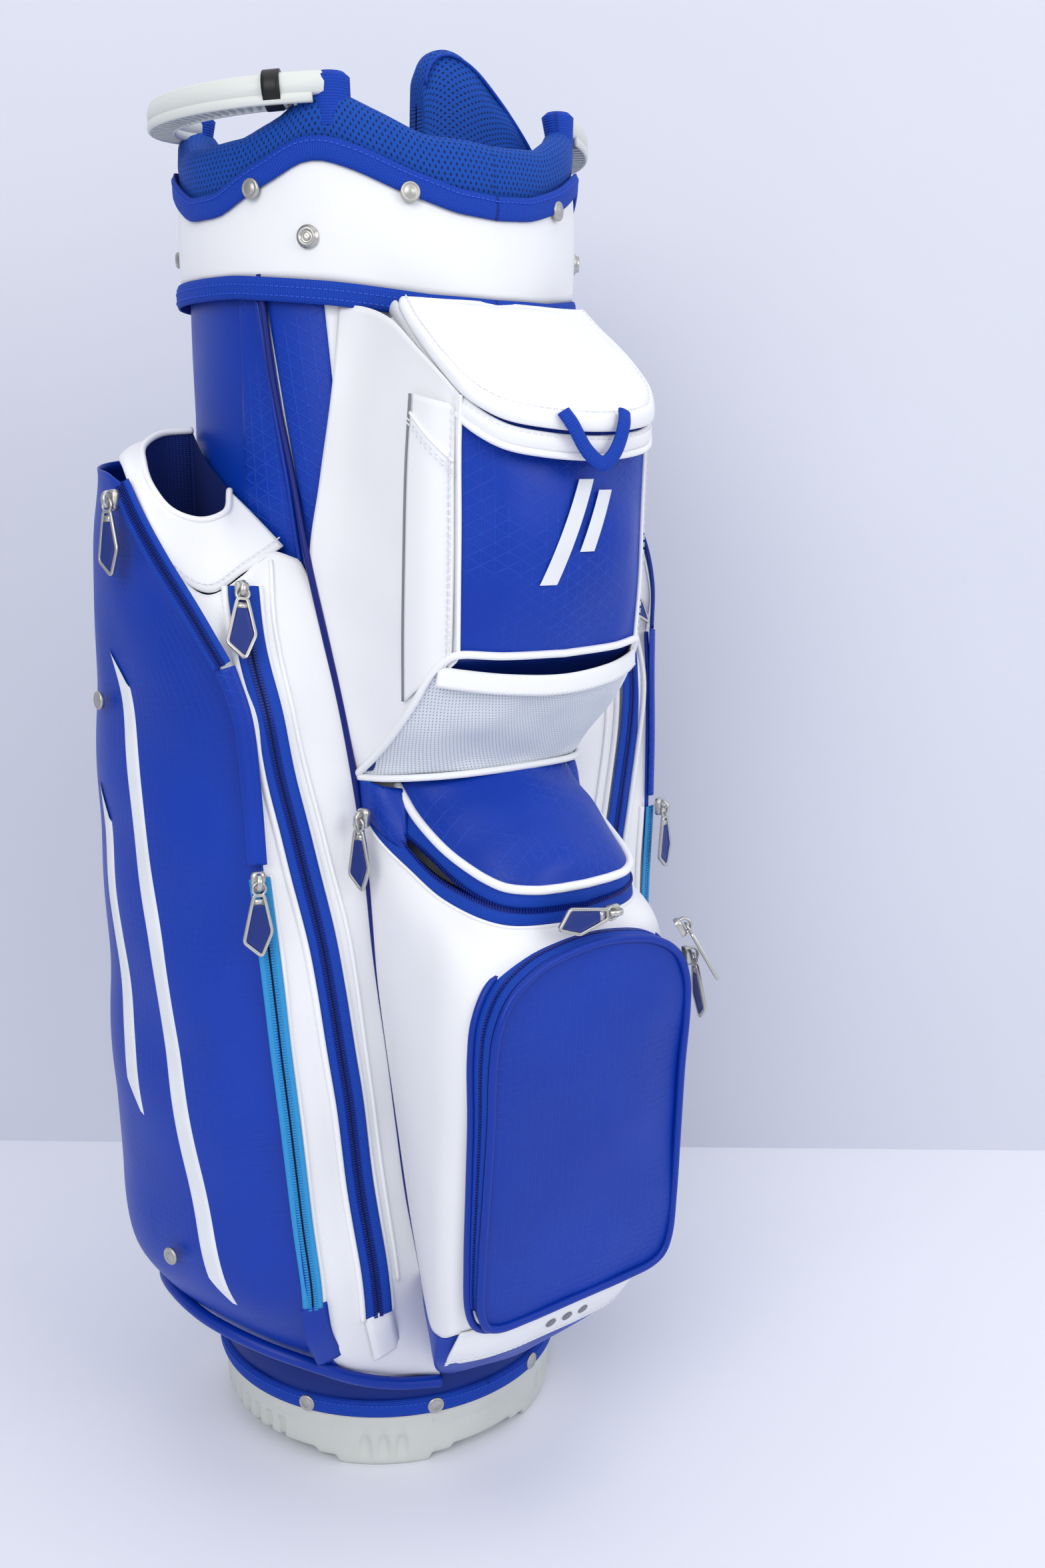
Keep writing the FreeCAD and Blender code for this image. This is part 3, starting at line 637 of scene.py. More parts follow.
def foot_gap(azimuth):
    # Degrees from the middle of the nearest of the four feet, with a sign.
    turned = (azimuth + 180) % 360 - 180
    gaps = [turned - middle for middle in (FOOT_TURN - 180, -FOOT_TURN, FOOT_TURN, 180 - FOOT_TURN)]
    return min(((gap + 180) % 360 - 180 for gap in gaps), key=abs)


def base_underside(azimuth):
    gap = abs(foot_gap(azimuth))
    steps = ((14.5, 16.5, 5.0), (22.0, 24.0, 3.4))
    height = 0.0
    for start, end, climb in steps:
        share = min(max((gap - start) / (end - start), 0), 1)
        height += climb * share * share * (3 - 2 * share)
    return height


def dimple(azimuth, height):
    # Three upright scoops in each foot, and a row of small notches between the feet at each side.
    gap = foot_gap(azimuth)
    scoop = 0.0
    for middle in (-6.0, 0.0, 6.0):
        near = 1 - ((gap - middle) / 2.1) ** 2
        if near > 0:
            rise_in = min(max((height - 7) / 5.0, 0), 1)
            fall_off = min(max((20.0 + 6.0 * near - height) / 5.0, 0), 1)
            scoop = max(scoop, 2.6 * near ** 0.7 * rise_in * fall_off)
    for middle in (-18, -12, -6, 0, 6, 12, 18):
        beside = abs((abs((azimuth + 180) % 360 - 180) - 90) - middle)
        if beside < 1.3 and height < 24:
            scoop = max(scoop, 2.6)
    return scoop


def base_piece():
    fine = np.linspace(0, 360, 721)[:-1]
    wall = [0.0, 1.6, 4, 8, 12, 16, 18, 20, 22, 26, 32, 36, 41]

    def at(share_height):
        def radius_height(azimuth):
            low = base_underside(azimuth)
            height = low + (41 - low) * share_height / 41
            round_in = 2.2 * max(0, 1 - share_height / 4.0) ** 2
            ledge = 1.3 if height > 33 else 0.0
            lean = 117.6 + 1.6 * height / 41
            return lean + ledge - round_in - dimple(azimuth, height - 0.0), height
        return radius_height

    rows = [(0.5, 8.0), (80.0, 8.0), lambda a: (82.0, base_underside(a) + 0.6),
            lambda a: (112.0, base_underside(a))]
    rows += [at(h) for h in wall]
    rows += [(119.0, 42.0), (114.5, 42.0), (113.0, 40.0), (113.0, 12.0), (0.5, 12.0)]
    grid = revolve_grid(rows, fine)
    return show("base_moulded_foot", grid, "bag", "base", "base_plastic", ["base_moulding"], closed=True)


def skirt_pieces():
    rows = [(118.4, 43), (120.3, 50), (121.0, 57), (120.8, 63), (119.5, 67), (118.2, 72), (117.0, 82)]
    grid = rumple(revolve_grid(rows, AZ), 0.9, 40.0, 3.0, hold=False, closed=True)
    show("skirt_cloth", grid, "bag", "skirt", "blue_fabric", ["skirt"], closed=True)
    rows = [(120.2, 40.2), (122.6, 40.6), (123.3, 43), (123.3, 49), (122.6, 51.6), (120.4, 51.9)]
    grid = revolve_grid(rows, AZ)
    show("skirt_binding_tape", grid, "bag", "binding", "webbing", ["skirt_binding"], closed=True)
    ring = np.array([around(a, 123.3, 49.4) for a in np.linspace(0, 360, 361)])
    bits("skirt_stitches", stitches(ring, outward_of(ring), 0.0, 3.2), "bag", "blue_thread", "webbing")


# ---------------------------------------------------------------- barrel

STRAP_SEAM = [(67.3, 766), (64.8, 735), (61.1, 690), (57.4, 648), (54.2, 603)]
FACET_RIGHT = [(48.9, 763), (46.5, 712), (44.1, 667), (42.8, 643), (46.7, 625), (54.2, 603)]


def at_height(edge, height):
    heights = [z for _, z in edge][::-1]
    turns = [a for a, _ in edge][::-1]
    return float(np.interp(height, heights, turns))


def barrel_pieces():
    rows = [(118.0, z) for z in np.linspace(60, 762, 40)]
    back = revolve_grid(rows, np.linspace(74, 286, 160))
    show("cover_back", rumple(back, 1.0, 60.0, 1.0), "bag", "blue", "blue_fabric", ["outer_cover"])
    front = revolve_grid([(117.6, z) for z in np.linspace(60, 762, 8)], np.linspace(-75, 75, 90))
    show("cover_front_backing", front, "bag", "white", "white_leather")
    for side, tag in ((-1, "left"), (1, "right")):
        heights = np.linspace(600, 764, 46)
        facet, plain_side = [], []
        for z in heights:
            left, right = at_height(STRAP_SEAM, z) - 0.4, at_height(FACET_RIGHT, z)
            turns = np.linspace(left, right, 16)
            facet.append([around(side * a, 119.3, z) for a in turns])
            turns = np.linspace(76, at_height(STRAP_SEAM, z) + 0.6, 14)
            plain_side.append([around(side * a, 119.2, z) for a in turns])
        flip = side > 0
        facet = puff(np.array(facet), -0.9 * side, 0.5)
        show(f"barrel_facet_panel_{tag}", facet, "bag", "facets", "blue_fabric", flip=flip, depth=1.0)
        plain_side = rumple(np.array(plain_side), 1.2, 34.0, 5.0)
        show(f"barrel_side_panel_{tag}", plain_side, "bag", "facets", "blue_fabric", flip=flip, depth=1.0)
        white = []
        for z in heights:
            turns = np.linspace(at_height(FACET_RIGHT, z) + 0.2, 20, 20)
            white.append([around(side * a, 119.0, z) for a in turns])
        show(f"barrel_white_panel_{tag}", np.array(white), "bag", "white", "white_leather", flip=flip,
             depth=0.8)
        seam = mirror(spline(PIPE_SEAM, 140), side)
        out = outward_of(seam)
        run(f"strap_piping_{tag}", seam + out * 0.6, out, round_section(2.1), "bag", "deep", "blue_fabric")
        edge = np.array([around(side * (at_height(STRAP_SEAM, z) + 2.4), 120.0, z)
                         for z in np.linspace(764, 604, 60)])
        run(f"strap_channel_edge_{tag}", edge, outward_of(edge), strip_section(3.4, 1.4, 0.5), "bag",
            "piping", "blue_fabric")


PIPE_SEAM = [(-112, -48, 767), (-108, -52, 712), (-102, -63, 652), (-100, -76, 602), (-94, -83, 560),
             (-87, -90, 512), (-79, -97, 442), (-75, -100, 379), (-65, -107, 268), (-58, -111, 199),
             (-47, -116, 128)]


# ---------------------------------------------------------------- collar and its bindings

COLLAR_TOP = [(0, 801), (12, 803), (26, 812), (38, 823), (47, 829), (54, 828), (62, 819), (68, 814),
              (80, 802), (94, 802), (106, 813), (122, 826), (136, 829), (150, 820), (165, 808), (180, 802)]
COLLAR_LOW = [(0, 754), (20, 755), (45, 761), (75, 766), (180, 766)]


def wavy(table, azimuth):
    turn = abs((azimuth + 180) % 360 - 180)
    keys, values = zip(*table)
    low = np.interp(turn - 3, keys, values)
    high = np.interp(turn + 3, keys, values)
    return float(low + high + 2 * np.interp(turn, keys, values)) / 4


def collar_pieces():
    rows = []
    for share in np.linspace(0, 1, 12):
        def row(azimuth, share=share):
            low, top = wavy(COLLAR_LOW, azimuth), wavy(COLLAR_TOP, azimuth)
            bulge = 1.0 * math.sin(math.pi * share)
            return 123.4 + bulge, low + (top - low) * share
        rows.append(row)
    grid = rumple(revolve_grid(rows, AZ), 1.1, 55.0, 9.0, hold=False, closed=True)
    show("collar_band", grid, "bag", "white", "white_leather", ["collar"], closed=True, depth=1.6)
    turns = np.linspace(0, 360, 361)
    top = np.array([around(a, 124.6, wavy(COLLAR_TOP, a) + 4) for a in turns[:-1]])
    tape = strip_section(13.0, 1.7, 0.5, 7)
    run("collar_top_tape", top, outward_of(top), tape, "bag", "binding", "webbing", ["collar_top_binding"],
        closed=True)
    low = np.array([around(a, 124.4, wavy(COLLAR_LOW, a) - 5.5) for a in turns[:-1]])
    run("collar_low_tape", low, outward_of(low), tape, "bag", "binding", "webbing",
        ["collar_bottom_binding"], closed=True)
    rows = []
    for path, shift in ((top, -3.6), (low, -1.8), (low, 3.2)):
        rows += stitches(path, outward_of(path), 2.0, 3.2, shift)
    bits("collar_stitches", rows, "bag", "blue_thread", "webbing")


# ---------------------------------------------------------------- the padded mouth

RIM_TOP = [(0, 840), (20, 842), (35, 854), (46, 866), (52, 866), (60, 852), (72, 842), (90, 841),
           (108, 843), (122, 858), (134, 868), (146, 860), (165, 845), (180, 841)]


def rim_pieces():
    rows = []
    outline = [(120.0, -34), (122.6, -26), (123.4, -15), (122.6, -6), (119.6, -1.0), (115.0, 0.6),
               (110.0, -0.8), (106.0, -5), (104.4, -12), (103.8, -24), (103.6, -40)]
    for radius, drop in outline:
        def row(azimuth, radius=radius, drop=drop):
            top = wavy(RIM_TOP, azimuth)
            low = wavy(COLLAR_TOP, azimuth)
            height = top + drop
            if drop < -5 and radius > 112:
                height = max(low + 2, height)
            return radius, height
        rows.append(row)
    grid = rumple(revolve_grid(rows, AZ), 1.6, 42.0, 4.0, hold=False, closed=True)
    pad = show("rim_mesh_pad", grid, "bag", "spacer", "spacer_mesh", ["rim_pad"], closed=True, flip=True)


def hump_piece():
    # The tall pad over the front divider: a folded sheet of foam with a rounded ridge.
    ridge = [(-5, 872), (-3, 892), (4, 902), (14, 905), (30, 900), (50, 884), (70, 863), (86, 842)]
    columns = spline([(x, 0, z) for x, z in ridge], 44)
    section = [(12.5, 0.0), (12.8, 0.3), (12.4, 0.7), (9.0, 0.93), (4.0, 0.995), (0, 1.0), (-4.0, 0.995),
               (-9.0, 0.93), (-12.4, 0.7), (-12.8, 0.3), (-12.5, 0.0)]
    base = 826.0  # just above the dividers
    grid = []
    for x, _, top in columns:
        shrink = 0.55 + 0.45 * math.sin(min(1.0, (x + 8) / 22) * math.pi / 2)
        grid.append([(x, -50 - y * shrink, base + (top - base) * share) for y, share in section])
    grid = rumple(np.array(grid), 2.2, 26.0, 6.0, hold=False)
    first = grid[0].copy()
    first[:, 1] = -50 + (first[:, 1] + 50) * 0.1
    last = grid[-1].copy()
    last[:, 1] = -50 + (last[:, 1] + 50) * 0.1
    grid = np.vstack([first[None], grid, last[None]])
    hump = show("raised_mesh_pad", grid, "bag", "spacer", "spacer_mesh", ["raised_divider_pad"])
    seam = np.array([(x, -50 - 9.5, base + (top - base) * 0.94) for x, _, top in columns[4:-3]])
    run("raised_pad_seam", seam, P(0, -1, 0.6), round_section(1.1), "bag", "tape", "spacer_mesh")


def divider_pad(name, start, end, nodes=()):
    path = even([start, end], 24)
    path[:, 2] += np.array([-3.0 * math.sin(math.pi * t) for t in np.linspace(0, 1, 24)])
    section = []
    for turn in np.linspace(0, math.pi, 9):
        section.append((4.4 * math.cos(turn), 8.0 + 5.0 * math.sin(turn)))
    section += [(-4.4, -4.0), (4.4, -4.0)]
    pad = run(name, path, P(0, 0, 1), section, "bag", "spacer", "spacer_mesh", nodes)


def mouth_pieces():
    rim_pieces()
    hump_piece()
    divider_pad("divider_pad_back", (-94, 40, 832), (94, 40, 832), ["divider_pads"])
    divider_pad("divider_pad_middle", (0, -38, 832), (0, 36, 832))
    divider_pad("divider_pad_rear", (0, 45, 832), (0, 100, 832))
    divider_pad("divider_pad_front", (-89, -50, 832), (-6, -50, 832))
    for name in ("dividers", "barrel_tube", "stay_rods", "top_frame"):
        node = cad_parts[name]
        node.data.materials.clear()
        node.data.materials.append(M["dark"])


# ---------------------------------------------------------------- handles

def handle_path(side, count=90):
    start, middle, end = P(84, -78, 866), P(137, 0, 860), P(84, 78, 866)
    a, b = start - middle, end - middle
    cross = np.cross(a, b)
    centre = middle + (np.dot(a, a) * np.cross(b, np.cross(a, b)) + np.dot(b, b)
                       * np.cross(np.cross(a, b), a)) / (2 * np.dot(cross, cross))
    radius = np.linalg.norm(middle - centre)
    x = unit(start - centre)
    normal = unit(cross)
    y = np.cross(normal, x)
    sweep_end = math.atan2(np.dot(end - centre, y), np.dot(end - centre, x)) % (2 * math.pi)
    if abs(np.linalg.norm(centre + radius * (math.cos(sweep_end / 2) * x + math.sin(sweep_end / 2) * y)
                          - middle)) > 1:
        sweep_end -= 2 * math.pi
    turns = np.linspace(0, sweep_end, count)
    path = centre + radius * (np.cos(turns)[:, None] * x + np.sin(turns)[:, None] * y)
    path[:, 0] *= side
    return path


def handle_pieces():
    wraps = []
    for side, tag in ((-1, "left"), (1, "right")):
        path = handle_path(side)
        up = P(0, 0, 1)
        section = [(8.3, 1.5), (7.0, 6.2), (3.5, 8.2), (0, 8.5), (-3.5, 8.2), (-7.0, 6.2), (-8.3, 1.5),
                   (-8.0, -3.5), (-6.0, -4.6), (6.0, -4.6), (8.0, -3.5)]
        run(f"handle_bar_{tag}", path, up, section, "bag", "handle", "handle_plastic", [f"handle_{tag}"])
        ribs = small_blocks(path[8:-8], up, 5.2, P(12.5, 1.8, 4.6), -8.6, 0, 22)
        bits(f"handle_ribs_{tag}", ribs, "bag", "handle", "handle_plastic")
        rail = path[4:-4]
        for shift in (-1, 1):
            _, across, out = frames_along(rail, up)
            line = rail + across * 7.0 * shift - out * 6.0
            run(f"handle_rail_{tag}_{'in' if shift < 0 else 'out'}", line, up, round_section(1.6, 1.9, 8),
                "bag", "handle", "handle_plastic")
        for end, spot in ((-1, path[:9]), (1, path[-9:][::-1])):
            wraps.append((side, end, spot))
    clip = handle_path(-1)[11:16]
    run("handle_clip_band", clip, P(0, 0, 1), round_section(10.8, 1.0, 20), "bag", "black", "black_band",
        ["handle_clip"])
    for side, end, spot in wraps:
        tag = ("left" if side < 0 else "right") + ("_front" if end < 0 else "_back")
        grid = []
        for share in np.linspace(0, 1, 9):
            ring = []
            for turn in np.linspace(0, 2 * math.pi, 22, endpoint=False):
                # From a band round the bar's end down to a strap on the rim.
                c, s = math.cos(turn), math.sin(turn)
                wide = 11.0 + 1.5 * share
                deep = 10.0 - 3.0 * share
                mid = P(side * (82.0 + 1.5 * share), end * (78.5 + 2 * share), 871 - 26 * share)
                along = unit(P(-side * 0.62, end * 0.78, 0))
                outward = unit(P(side * 0.78, end * 0.62, 0))
                ring.append(mid + along * wide * c + outward * deep * s)
            grid.append(ring)
        grid = np.array(grid)
        cap = grid[0].mean(0) + P(0, 0, 3.5)
        lid = cap + (grid[0] - grid[0].mean(0)) * 0.1
        ridge = cap + (grid[0] - grid[0].mean(0)) * 0.7 - P(0, 0, 0.8)
        grid = np.vstack([lid[None], ridge[None], grid])
        show(f"handle_wrap_{tag}", grid, "bag", "binding", "webbing",
             ["handle_wraps"] if tag == "left_front" else (), closed=True, flip=True)


# ---------------------------------------------------------------- the valuables block

def both(half):
    # A row drawn for the left half, carried over to the right.
    left = [P(*p) for p in half]
    right = [P(-p[0], p[1], p[2]) for p in reversed(left) if abs(p[0]) > 0.01]
    return left + right


FRONT_PANEL = [
    [(-68, -181, 700), (-42, -192, 699), (0, -196, 698)],
    [(-68, -180, 684), (-42, -190.5, 681), (0, -195, 679)],
    [(-67.5, -180, 664), (-42, -193, 662), (0, -198.5, 660)],
    [(-67, -179.5, 632), (-42, -196, 631), (0, -203, 630)],
    [(-67, -179, 604), (-42, -194, 603), (0, -201, 602)],
    [(-66.5, -178, 578), (-42, -189.5, 576), (0, -195.5, 575)],
    [(-66, -177, 558), (-42, -185, 556), (0, -189, 555)],
]

SIDE_FACE = [
    [(-84, -87, 750), (-78, -103.5, 748), (-75, -124, 741), (-74, -150, 724), (-72, -174, 707),
     (-68, -182, 699)],
    [(-88, -84, 702), (-83, -100, 694), (-80, -124, 684), (-79, -148, 677), (-75, -168, 672),
     (-67.5, -180, 670)],
    [(-94, -79, 652), (-88, -96, 646), (-83, -122, 640), (-81, -148, 636), (-76, -167, 634),
     (-67, -179.5, 632)],
    [(-100, -76, 602), (-92, -90, 600), (-85, -118, 598), (-81, -146, 597), (-76, -165, 597),
     (-67, -179, 597)],
    [(-94, -83, 562), (-89, -94, 561), (-84, -116, 560), (-81, -141, 559), (-77, -160, 559),
     (-66, -177, 558)],
    [(-90, -87, 531), (-86, -96, 528), (-82, -117, 530), (-80, -139, 539), (-77, -157, 549),
     (-66.2, -177, 557)],
    [(-86, -91, 506), (-84, -97, 501), (-81, -118, 505), (-80, -137, 518), (-78, -154, 538),
     (-66.4, -176.6, 556)],
    [(-81, -93, 480), (-80.5, -96, 481), (-80.5, -106, 487), (-80, -127, 504), (-78, -151, 528),
     (-67, -176, 555)],
]

FLAP_EDGE = [(-68, -124, 745), (-70, -138, 733), (-71.5, -156, 720), (-71, -173, 707), (-69, -184, 698.5),
             (-63, -193, 691.5), (-53, -202, 685.5), (-30, -210, 681.5), (0, -213.5, 680)]

MESH_EDGE = [(-81, -93, 478), (-81, -112, 491), (-80.5, -130, 506), (-79, -151, 528), (-75, -166, 549),
             (-70, -174, 557)]


def front_block_pieces():
    grid = patch([both(row) for row in FRONT_PANEL][::-1], 70, 60)
    grid = rumple(grid, 1.8, 34.0, 12.0)
    show("valuables_front_panel", grid, "bag", "facets", "blue_fabric", ["valuables_pocket"], depth=1.5)
    for side, tag in ((-1, "left"), (1, "right")):
        rows = [mirror(row, side) for row in SIDE_FACE][::-1]
        grid = puff(patch(rows, 50, 70), 2.0, 0.3, outward=-1.0)
        grid = rumple(grid, 2.4, 46.0, 20.0 + side)
        show(f"valuables_side_{tag}", grid, "bag", "white", "white_leather", depth=1.2, flip=side > 0)
        corner = mirror([row[-1] for row in SIDE_FACE[:5]], side)
        line = spline(corner, 60) + P(side * 0.4, -0.6, 0)
        run(f"valuables_corner_piping_{tag}", line, P(side * 0.7, -0.7, 0), round_section(1.3), "bag", "trim",
            "white_leather")
        edge = line + P(side * 3.5, 3.0, 0)
        bits(f"valuables_corner_stitches_{tag}", stitches(edge, P(side * 0.9, -0.5, 0), 1.0, 4.2), "bag",
             "thread",
             "white_leather")


def pen_pieces():
    rear = [(-78.8, -152, 700), (-81.2, -151, 660), (-82.0, -149.5, 610), (-81.4, -147, 566),
            (-80.6, -145.5, 530)]
    front = [(-69.5, -179, 694), (-69.6, -178.4, 660), (-69.6, -178, 610), (-69.4, -176.5, 575),
             (-68.6, -174.5, 555)]
    rear, front = spline(rear, 50), spline(front, 50)
    grid = []
    for a, b in zip(rear, front):
        mid = (a + b) / 2 + P(-2.4, -1.6, 0)
        grid.append(spline([a, mid, b], 18))
    grid = np.array(grid)[::-1]
    show("pen_strip", puff(grid, 0.5, 0.3), "bag", "white", "white_leather", ["pen_pocket"], depth=0.6)
    sleeve = grid + P(-0.9, -0.4, 0)
    top = np.linspace(0, 1, 18)
    cut_rows = []
    for k in range(18):
        column = sleeve[:, k]
        limit = 690 - 26 * top[k]
        heights = np.linspace(column[0, 2], limit, 44)
        cut_rows.append(np.column_stack([np.interp(heights, column[:, 2], column[:, 0]),
                                         np.interp(heights, column[:, 2], column[:, 1]), heights]))
    sleeve = np.array(cut_rows).transpose(1, 0, 2)
    show("pen_sleeve", puff(sleeve, 0.6, 0.3), "bag", "white", "white_leather", depth=0.8)
    mouth = sleeve[-1]
    run("pen_mouth_edge", mouth, P(-0.9, -0.4, 0), round_section(1.0), "bag", "trim", "white_leather")
    rows = []
    for shift in (4.0, 6.5):
        rows += stitches(mouth - P(0, 0, shift), P(-0.9, -0.4, 0), 1.2, 3.8)
    rows += stitches(sleeve[:, -2] + P(-0.6, 0, 0), P(-1, 0, 0), 0.8, 3.8)
    bits("pen_stitches", rows, "bag", "thread", "white_leather")
    run("pen_rear_seam", rear + P(-0.6, 1.0, 0), P(-1, 0, 0), round_section(0.9), "bag", "grey_print",
        "white_leather")


def tongue(edge_half, centre, rings, count=120):
    # A rounded flap built as rings from its edge to its middle: ring is (share, lift, crown).
    loop = spline(both(edge_half), count)
    back = even([loop[-1], loop[0]], 24)[1:-1]
    loop = np.vstack([loop, back])
    centre = P(*centre)
    made = []
    for share, lift, crown in rings:
        ring = centre + (loop - centre) * share
        ring[:, 2] += lift + crown * (1 - share * share)
        made.append(ring)
    return np.array(made), loop


def flap_pieces():
    rings = [(0.55, 1.0, 0), (0.93, 0.4, 0), (0.985, 0.0, 0), (1.0, 1.4, 0), (1.004, 4.2, 0), (1.0, 6.6, 0),
             (0.985, 8.6, 0), (0.965, 9.4, 0), (0.945, 8.9, 0), (0.932, 7.6, 0), (0.925, 7.9, 0),
             (0.90, 8.4, 0.5), (0.8, 8.5, 2.6), (0.6, 8.5, 3.4), (0.4, 8.5, 3.8), (0.2, 8.5, 4.0),
             (0.0005, 8.5, 4.0)]
    grid, loop = tongue(FLAP_EDGE, FLAP_MIDDLE, rings)
    grid[5:] = rumple(grid[5:], 0.9, 30.0, 8.0, hold=False, closed=True)
    flap = grid_object("valuables_flap_cover", grid, True, flat_uv(grid, 718))
    finish_piece(flap, "valuables_flap", M["white"], "white_leather", ["valuables_flap"])
    trail = (P(*FLAP_MIDDLE) + (loop[:120] - P(*FLAP_MIDDLE)) * 0.948) + P(0, 0, 9.2)
    bits("flap_stitches", stitches(trail, P(0, -0.3, 1), 0.0, 4.0), "valuables_flap", "thread",
         "white_leather")
    loop_path = spline([(-22, -212, 691), (-19, -215.5, 685), (-9, -217.6, 670), (2, -218, 663.5),
                        (11, -217.6, 670),
                        (19, -215.5, 685), (22, -212, 692)], 60)
    run("flap_pull_tape", loop_path, P(0, -1, 0.1), strip_section(8.5, 1.7, 0.4), "valuables_flap", "binding",
        "webbing", ["flap_pull_loop"])
    edge = spline(both(FLAP_EDGE), 140)
    inward = unit(np.column_stack([edge[:, 0], edge[:, 1] + 150, np.zeros(len(edge))]))
    lip = edge - inward * 4.0 - P(0, 0, 6.5)
    lip = np.vstack([lip[:1] + P(0, 12, 9), lip, lip[-1:] + P(0, 12, 9)])
    out = np.vstack([inward[:1], inward, inward[-1:]])
    run("valuables_lip", lip, out, round_section(5.2, 0.55, 14), "bag", "white", "white_leather")
    low = lip - P(0, 0, 6.5) + out * 1.2
    run("valuables_lip_piping", low, out, round_section(2.0), "bag", "trim", "white_leather")
    bits("valuables_lip_stitches", stitches(lip[2:-2] + P(0, 0, 3.4), out[2:-2], 2.2, 4.0), "bag", "thread",
         "white_leather")


def flat_uv(grid, _height=0.0):
    flat = grid[..., :2].reshape(-1, 2)
    return flat


def mesh_pocket_pieces():
    rows = [
        [(-81, -93, 479), (-72, -116, 481), (-46, -141, 484), (0, -151, 485)],
        [(-81, -113, 493), (-70, -134, 496), (-44, -153, 499), (0, -162, 501)],
        [(-80.5, -133, 509), (-69, -149, 512), (-42, -166, 515), (0, -173, 516)],
        [(-79, -151, 529), (-67, -163, 529), (-40, -177, 529), (0, -182, 528)],
        [(-74, -168, 551), (-63, -175, 549), (-38, -185, 545.5), (0, -189, 543)],
    ]
    grid = patch([both(row) for row in rows], 70, 46)
    grid = rumple(grid, 2.6, 24.0, 15.0)
    mesh = show("mesh_pocket_sheet", grid, "bag", "knit", "knit_mesh", ["mesh_pocket"])
    width = length_of(grid[23]) * MM
    hem = grid[-1]
    out = outward_of(hem, -60)
    run("mesh_hem", hem - P(0, 0, 4.6) + out * 0.3, out, strip_section(12.0, 1.0, 0.3, 7), "bag", "trim",
        "white_leather")
    rows = stitches(hem - P(0, 0, 9.3), out, 1.3, 3.2)
    bits("mesh_hem_stitches", rows, "bag", "thread", "white_leather")
    back = patch([both(row) for row in [
        [(-80, -104, 482), (-50, -128, 488), (0, -137, 490)],
        [(-78, -140, 520), (-50, -150, 522), (0, -156, 523)],
        [(-67, -174, 557), (-42, -182, 557), (0, -186, 557)]]], 50, 24)
    show("mesh_pocket_backing", back, "bag", "skirt", "blue_fabric", depth=0.8)
    loop = spline(MESH_EDGE + [(-66, -178.5, 559), (-42, -187, 557.5), (0, -191, 556.5)], 120)
    whole = np.vstack([loop, mirror(loop[:-1], 1)[::-1]])
    run("mesh_top_piping", whole, outward_of(whole, -90), round_section(2.3), "bag", "trim", "white_leather")
    low = spline(both([(-81, -93, 477), (-73, -117, 479), (-47, -142.5, 482), (0, -152.5, 483.5)]), 120)
    run("mesh_low_piping", low, outward_of(low), round_section(2.2), "bag", "trim", "white_leather")


def front_mark():
    # Two plain slanted bars of different lengths, printed on the front panel.
    parts = []

    def front_y(x, z):
        bow = 203.0 - 0.0042 * x * x - 0.0022 * (z - 630) ** 2
        return -bow - 0.9

    for centre_x, centre_z, length, width in ((-8.0, 626.0, 58.0, 11.0), (12.0, 632.0, 34.0, 11.0)):
        verts, faces = [], []
        for along in np.linspace(-0.5, 0.5, 20):
            for aside in np.linspace(-0.5, 0.5, 6):
                x = centre_x + along * length * 0.42 + aside * width
                z = centre_z + along * length
                verts.append((x, front_y(x, z), z))
        for i in range(19):
            for k in range(5):
                faces.append((i * 6 + k, i * 6 + k + 1, (i + 1) * 6 + k + 1, (i + 1) * 6 + k))
        parts.append((np.array(verts), faces))
    bits("front_bars_mark", parts, "bag", "print", "blue_fabric", smooth=True)


# ---------------------------------------------------------------- lower white body

LOWER_BODY = [
    [(-80.5, -96, 457), (-78, -112, 442), (-72.5, -137, 427), (-66, -165, 413), (-50, -199, 404),
     (0, -213, 401)],
    [(-77, -99, 412), (-80, -125, 402), (-80, -158, 395), (-76, -188, 390), (-56, -210, 387), (0, -215, 386)],
    [(-73.5, -102, 347), (-81, -130, 343), (-83.5, -165, 340), (-82, -193, 338), (-75, -206, 338),
     (0, -208, 338)],
    [(-65.5, -107, 268), (-76, -135, 263), (-82, -165, 259), (-83, -189, 257), (-77, -200, 256),
     (0, -203, 255)],
    [(-58, -111, 199), (-70, -138, 190), (-79, -165, 184), (-82.5, -184, 182), (-79, -195, 180),
     (0, -202, 180)],
    [(-51, -114, 148), (-63, -137, 141), (-76, -164, 139), (-79, -180, 143), (-76, -190, 149),
     (0, -201, 153)],
]

BOTTOM = [
    [(-51, -114, 148), (-63, -137, 141), (-76, -164, 139), (-78.5, -180, 143), (-60, -196, 150),
     (0, -202, 153)],
    [(-46, -115.5, 122), (-58, -136, 112), (-72, -160, 112), (-73, -168, 114), (-48, -181, 118),
     (0, -185, 120)],
    [(-40, -116, 88), (-46, -126, 86), (-55, -140, 90), (-50, -150, 93), (-30, -156, 93), (0, -158, 92)],
    [(-33, -117, 68), (-32, -119, 68), (-29, -120, 67), (-23, -121, 67), (-12, -121.5, 67), (0, -121.5, 67)],
]

LID = [
    [(-63, -112, 474), (-58, -122, 478), (-34, -143, 482), (0, -151, 484)],
    [(-62.5, -128, 459), (-54, -138, 467), (-32, -152, 475), (0, -158, 479)],
    [(-62, -145, 449), (-52, -155, 458), (-30, -166, 467), (0, -171, 470)],
    [(-60, -160, 441), (-49, -170, 449), (-28, -180, 457), (0, -184, 459)],
    [(-57, -174, 435), (-45, -185, 441), (-26, -194, 447), (0, -197, 449)],
    [(-53, -187, 430), (-40, -199, 432), (-24, -206, 435), (0, -208, 437)],
    [(-47, -198, 426.5), (-33, -208, 425), (-20, -211, 425), (0, -212, 424.5)],
]


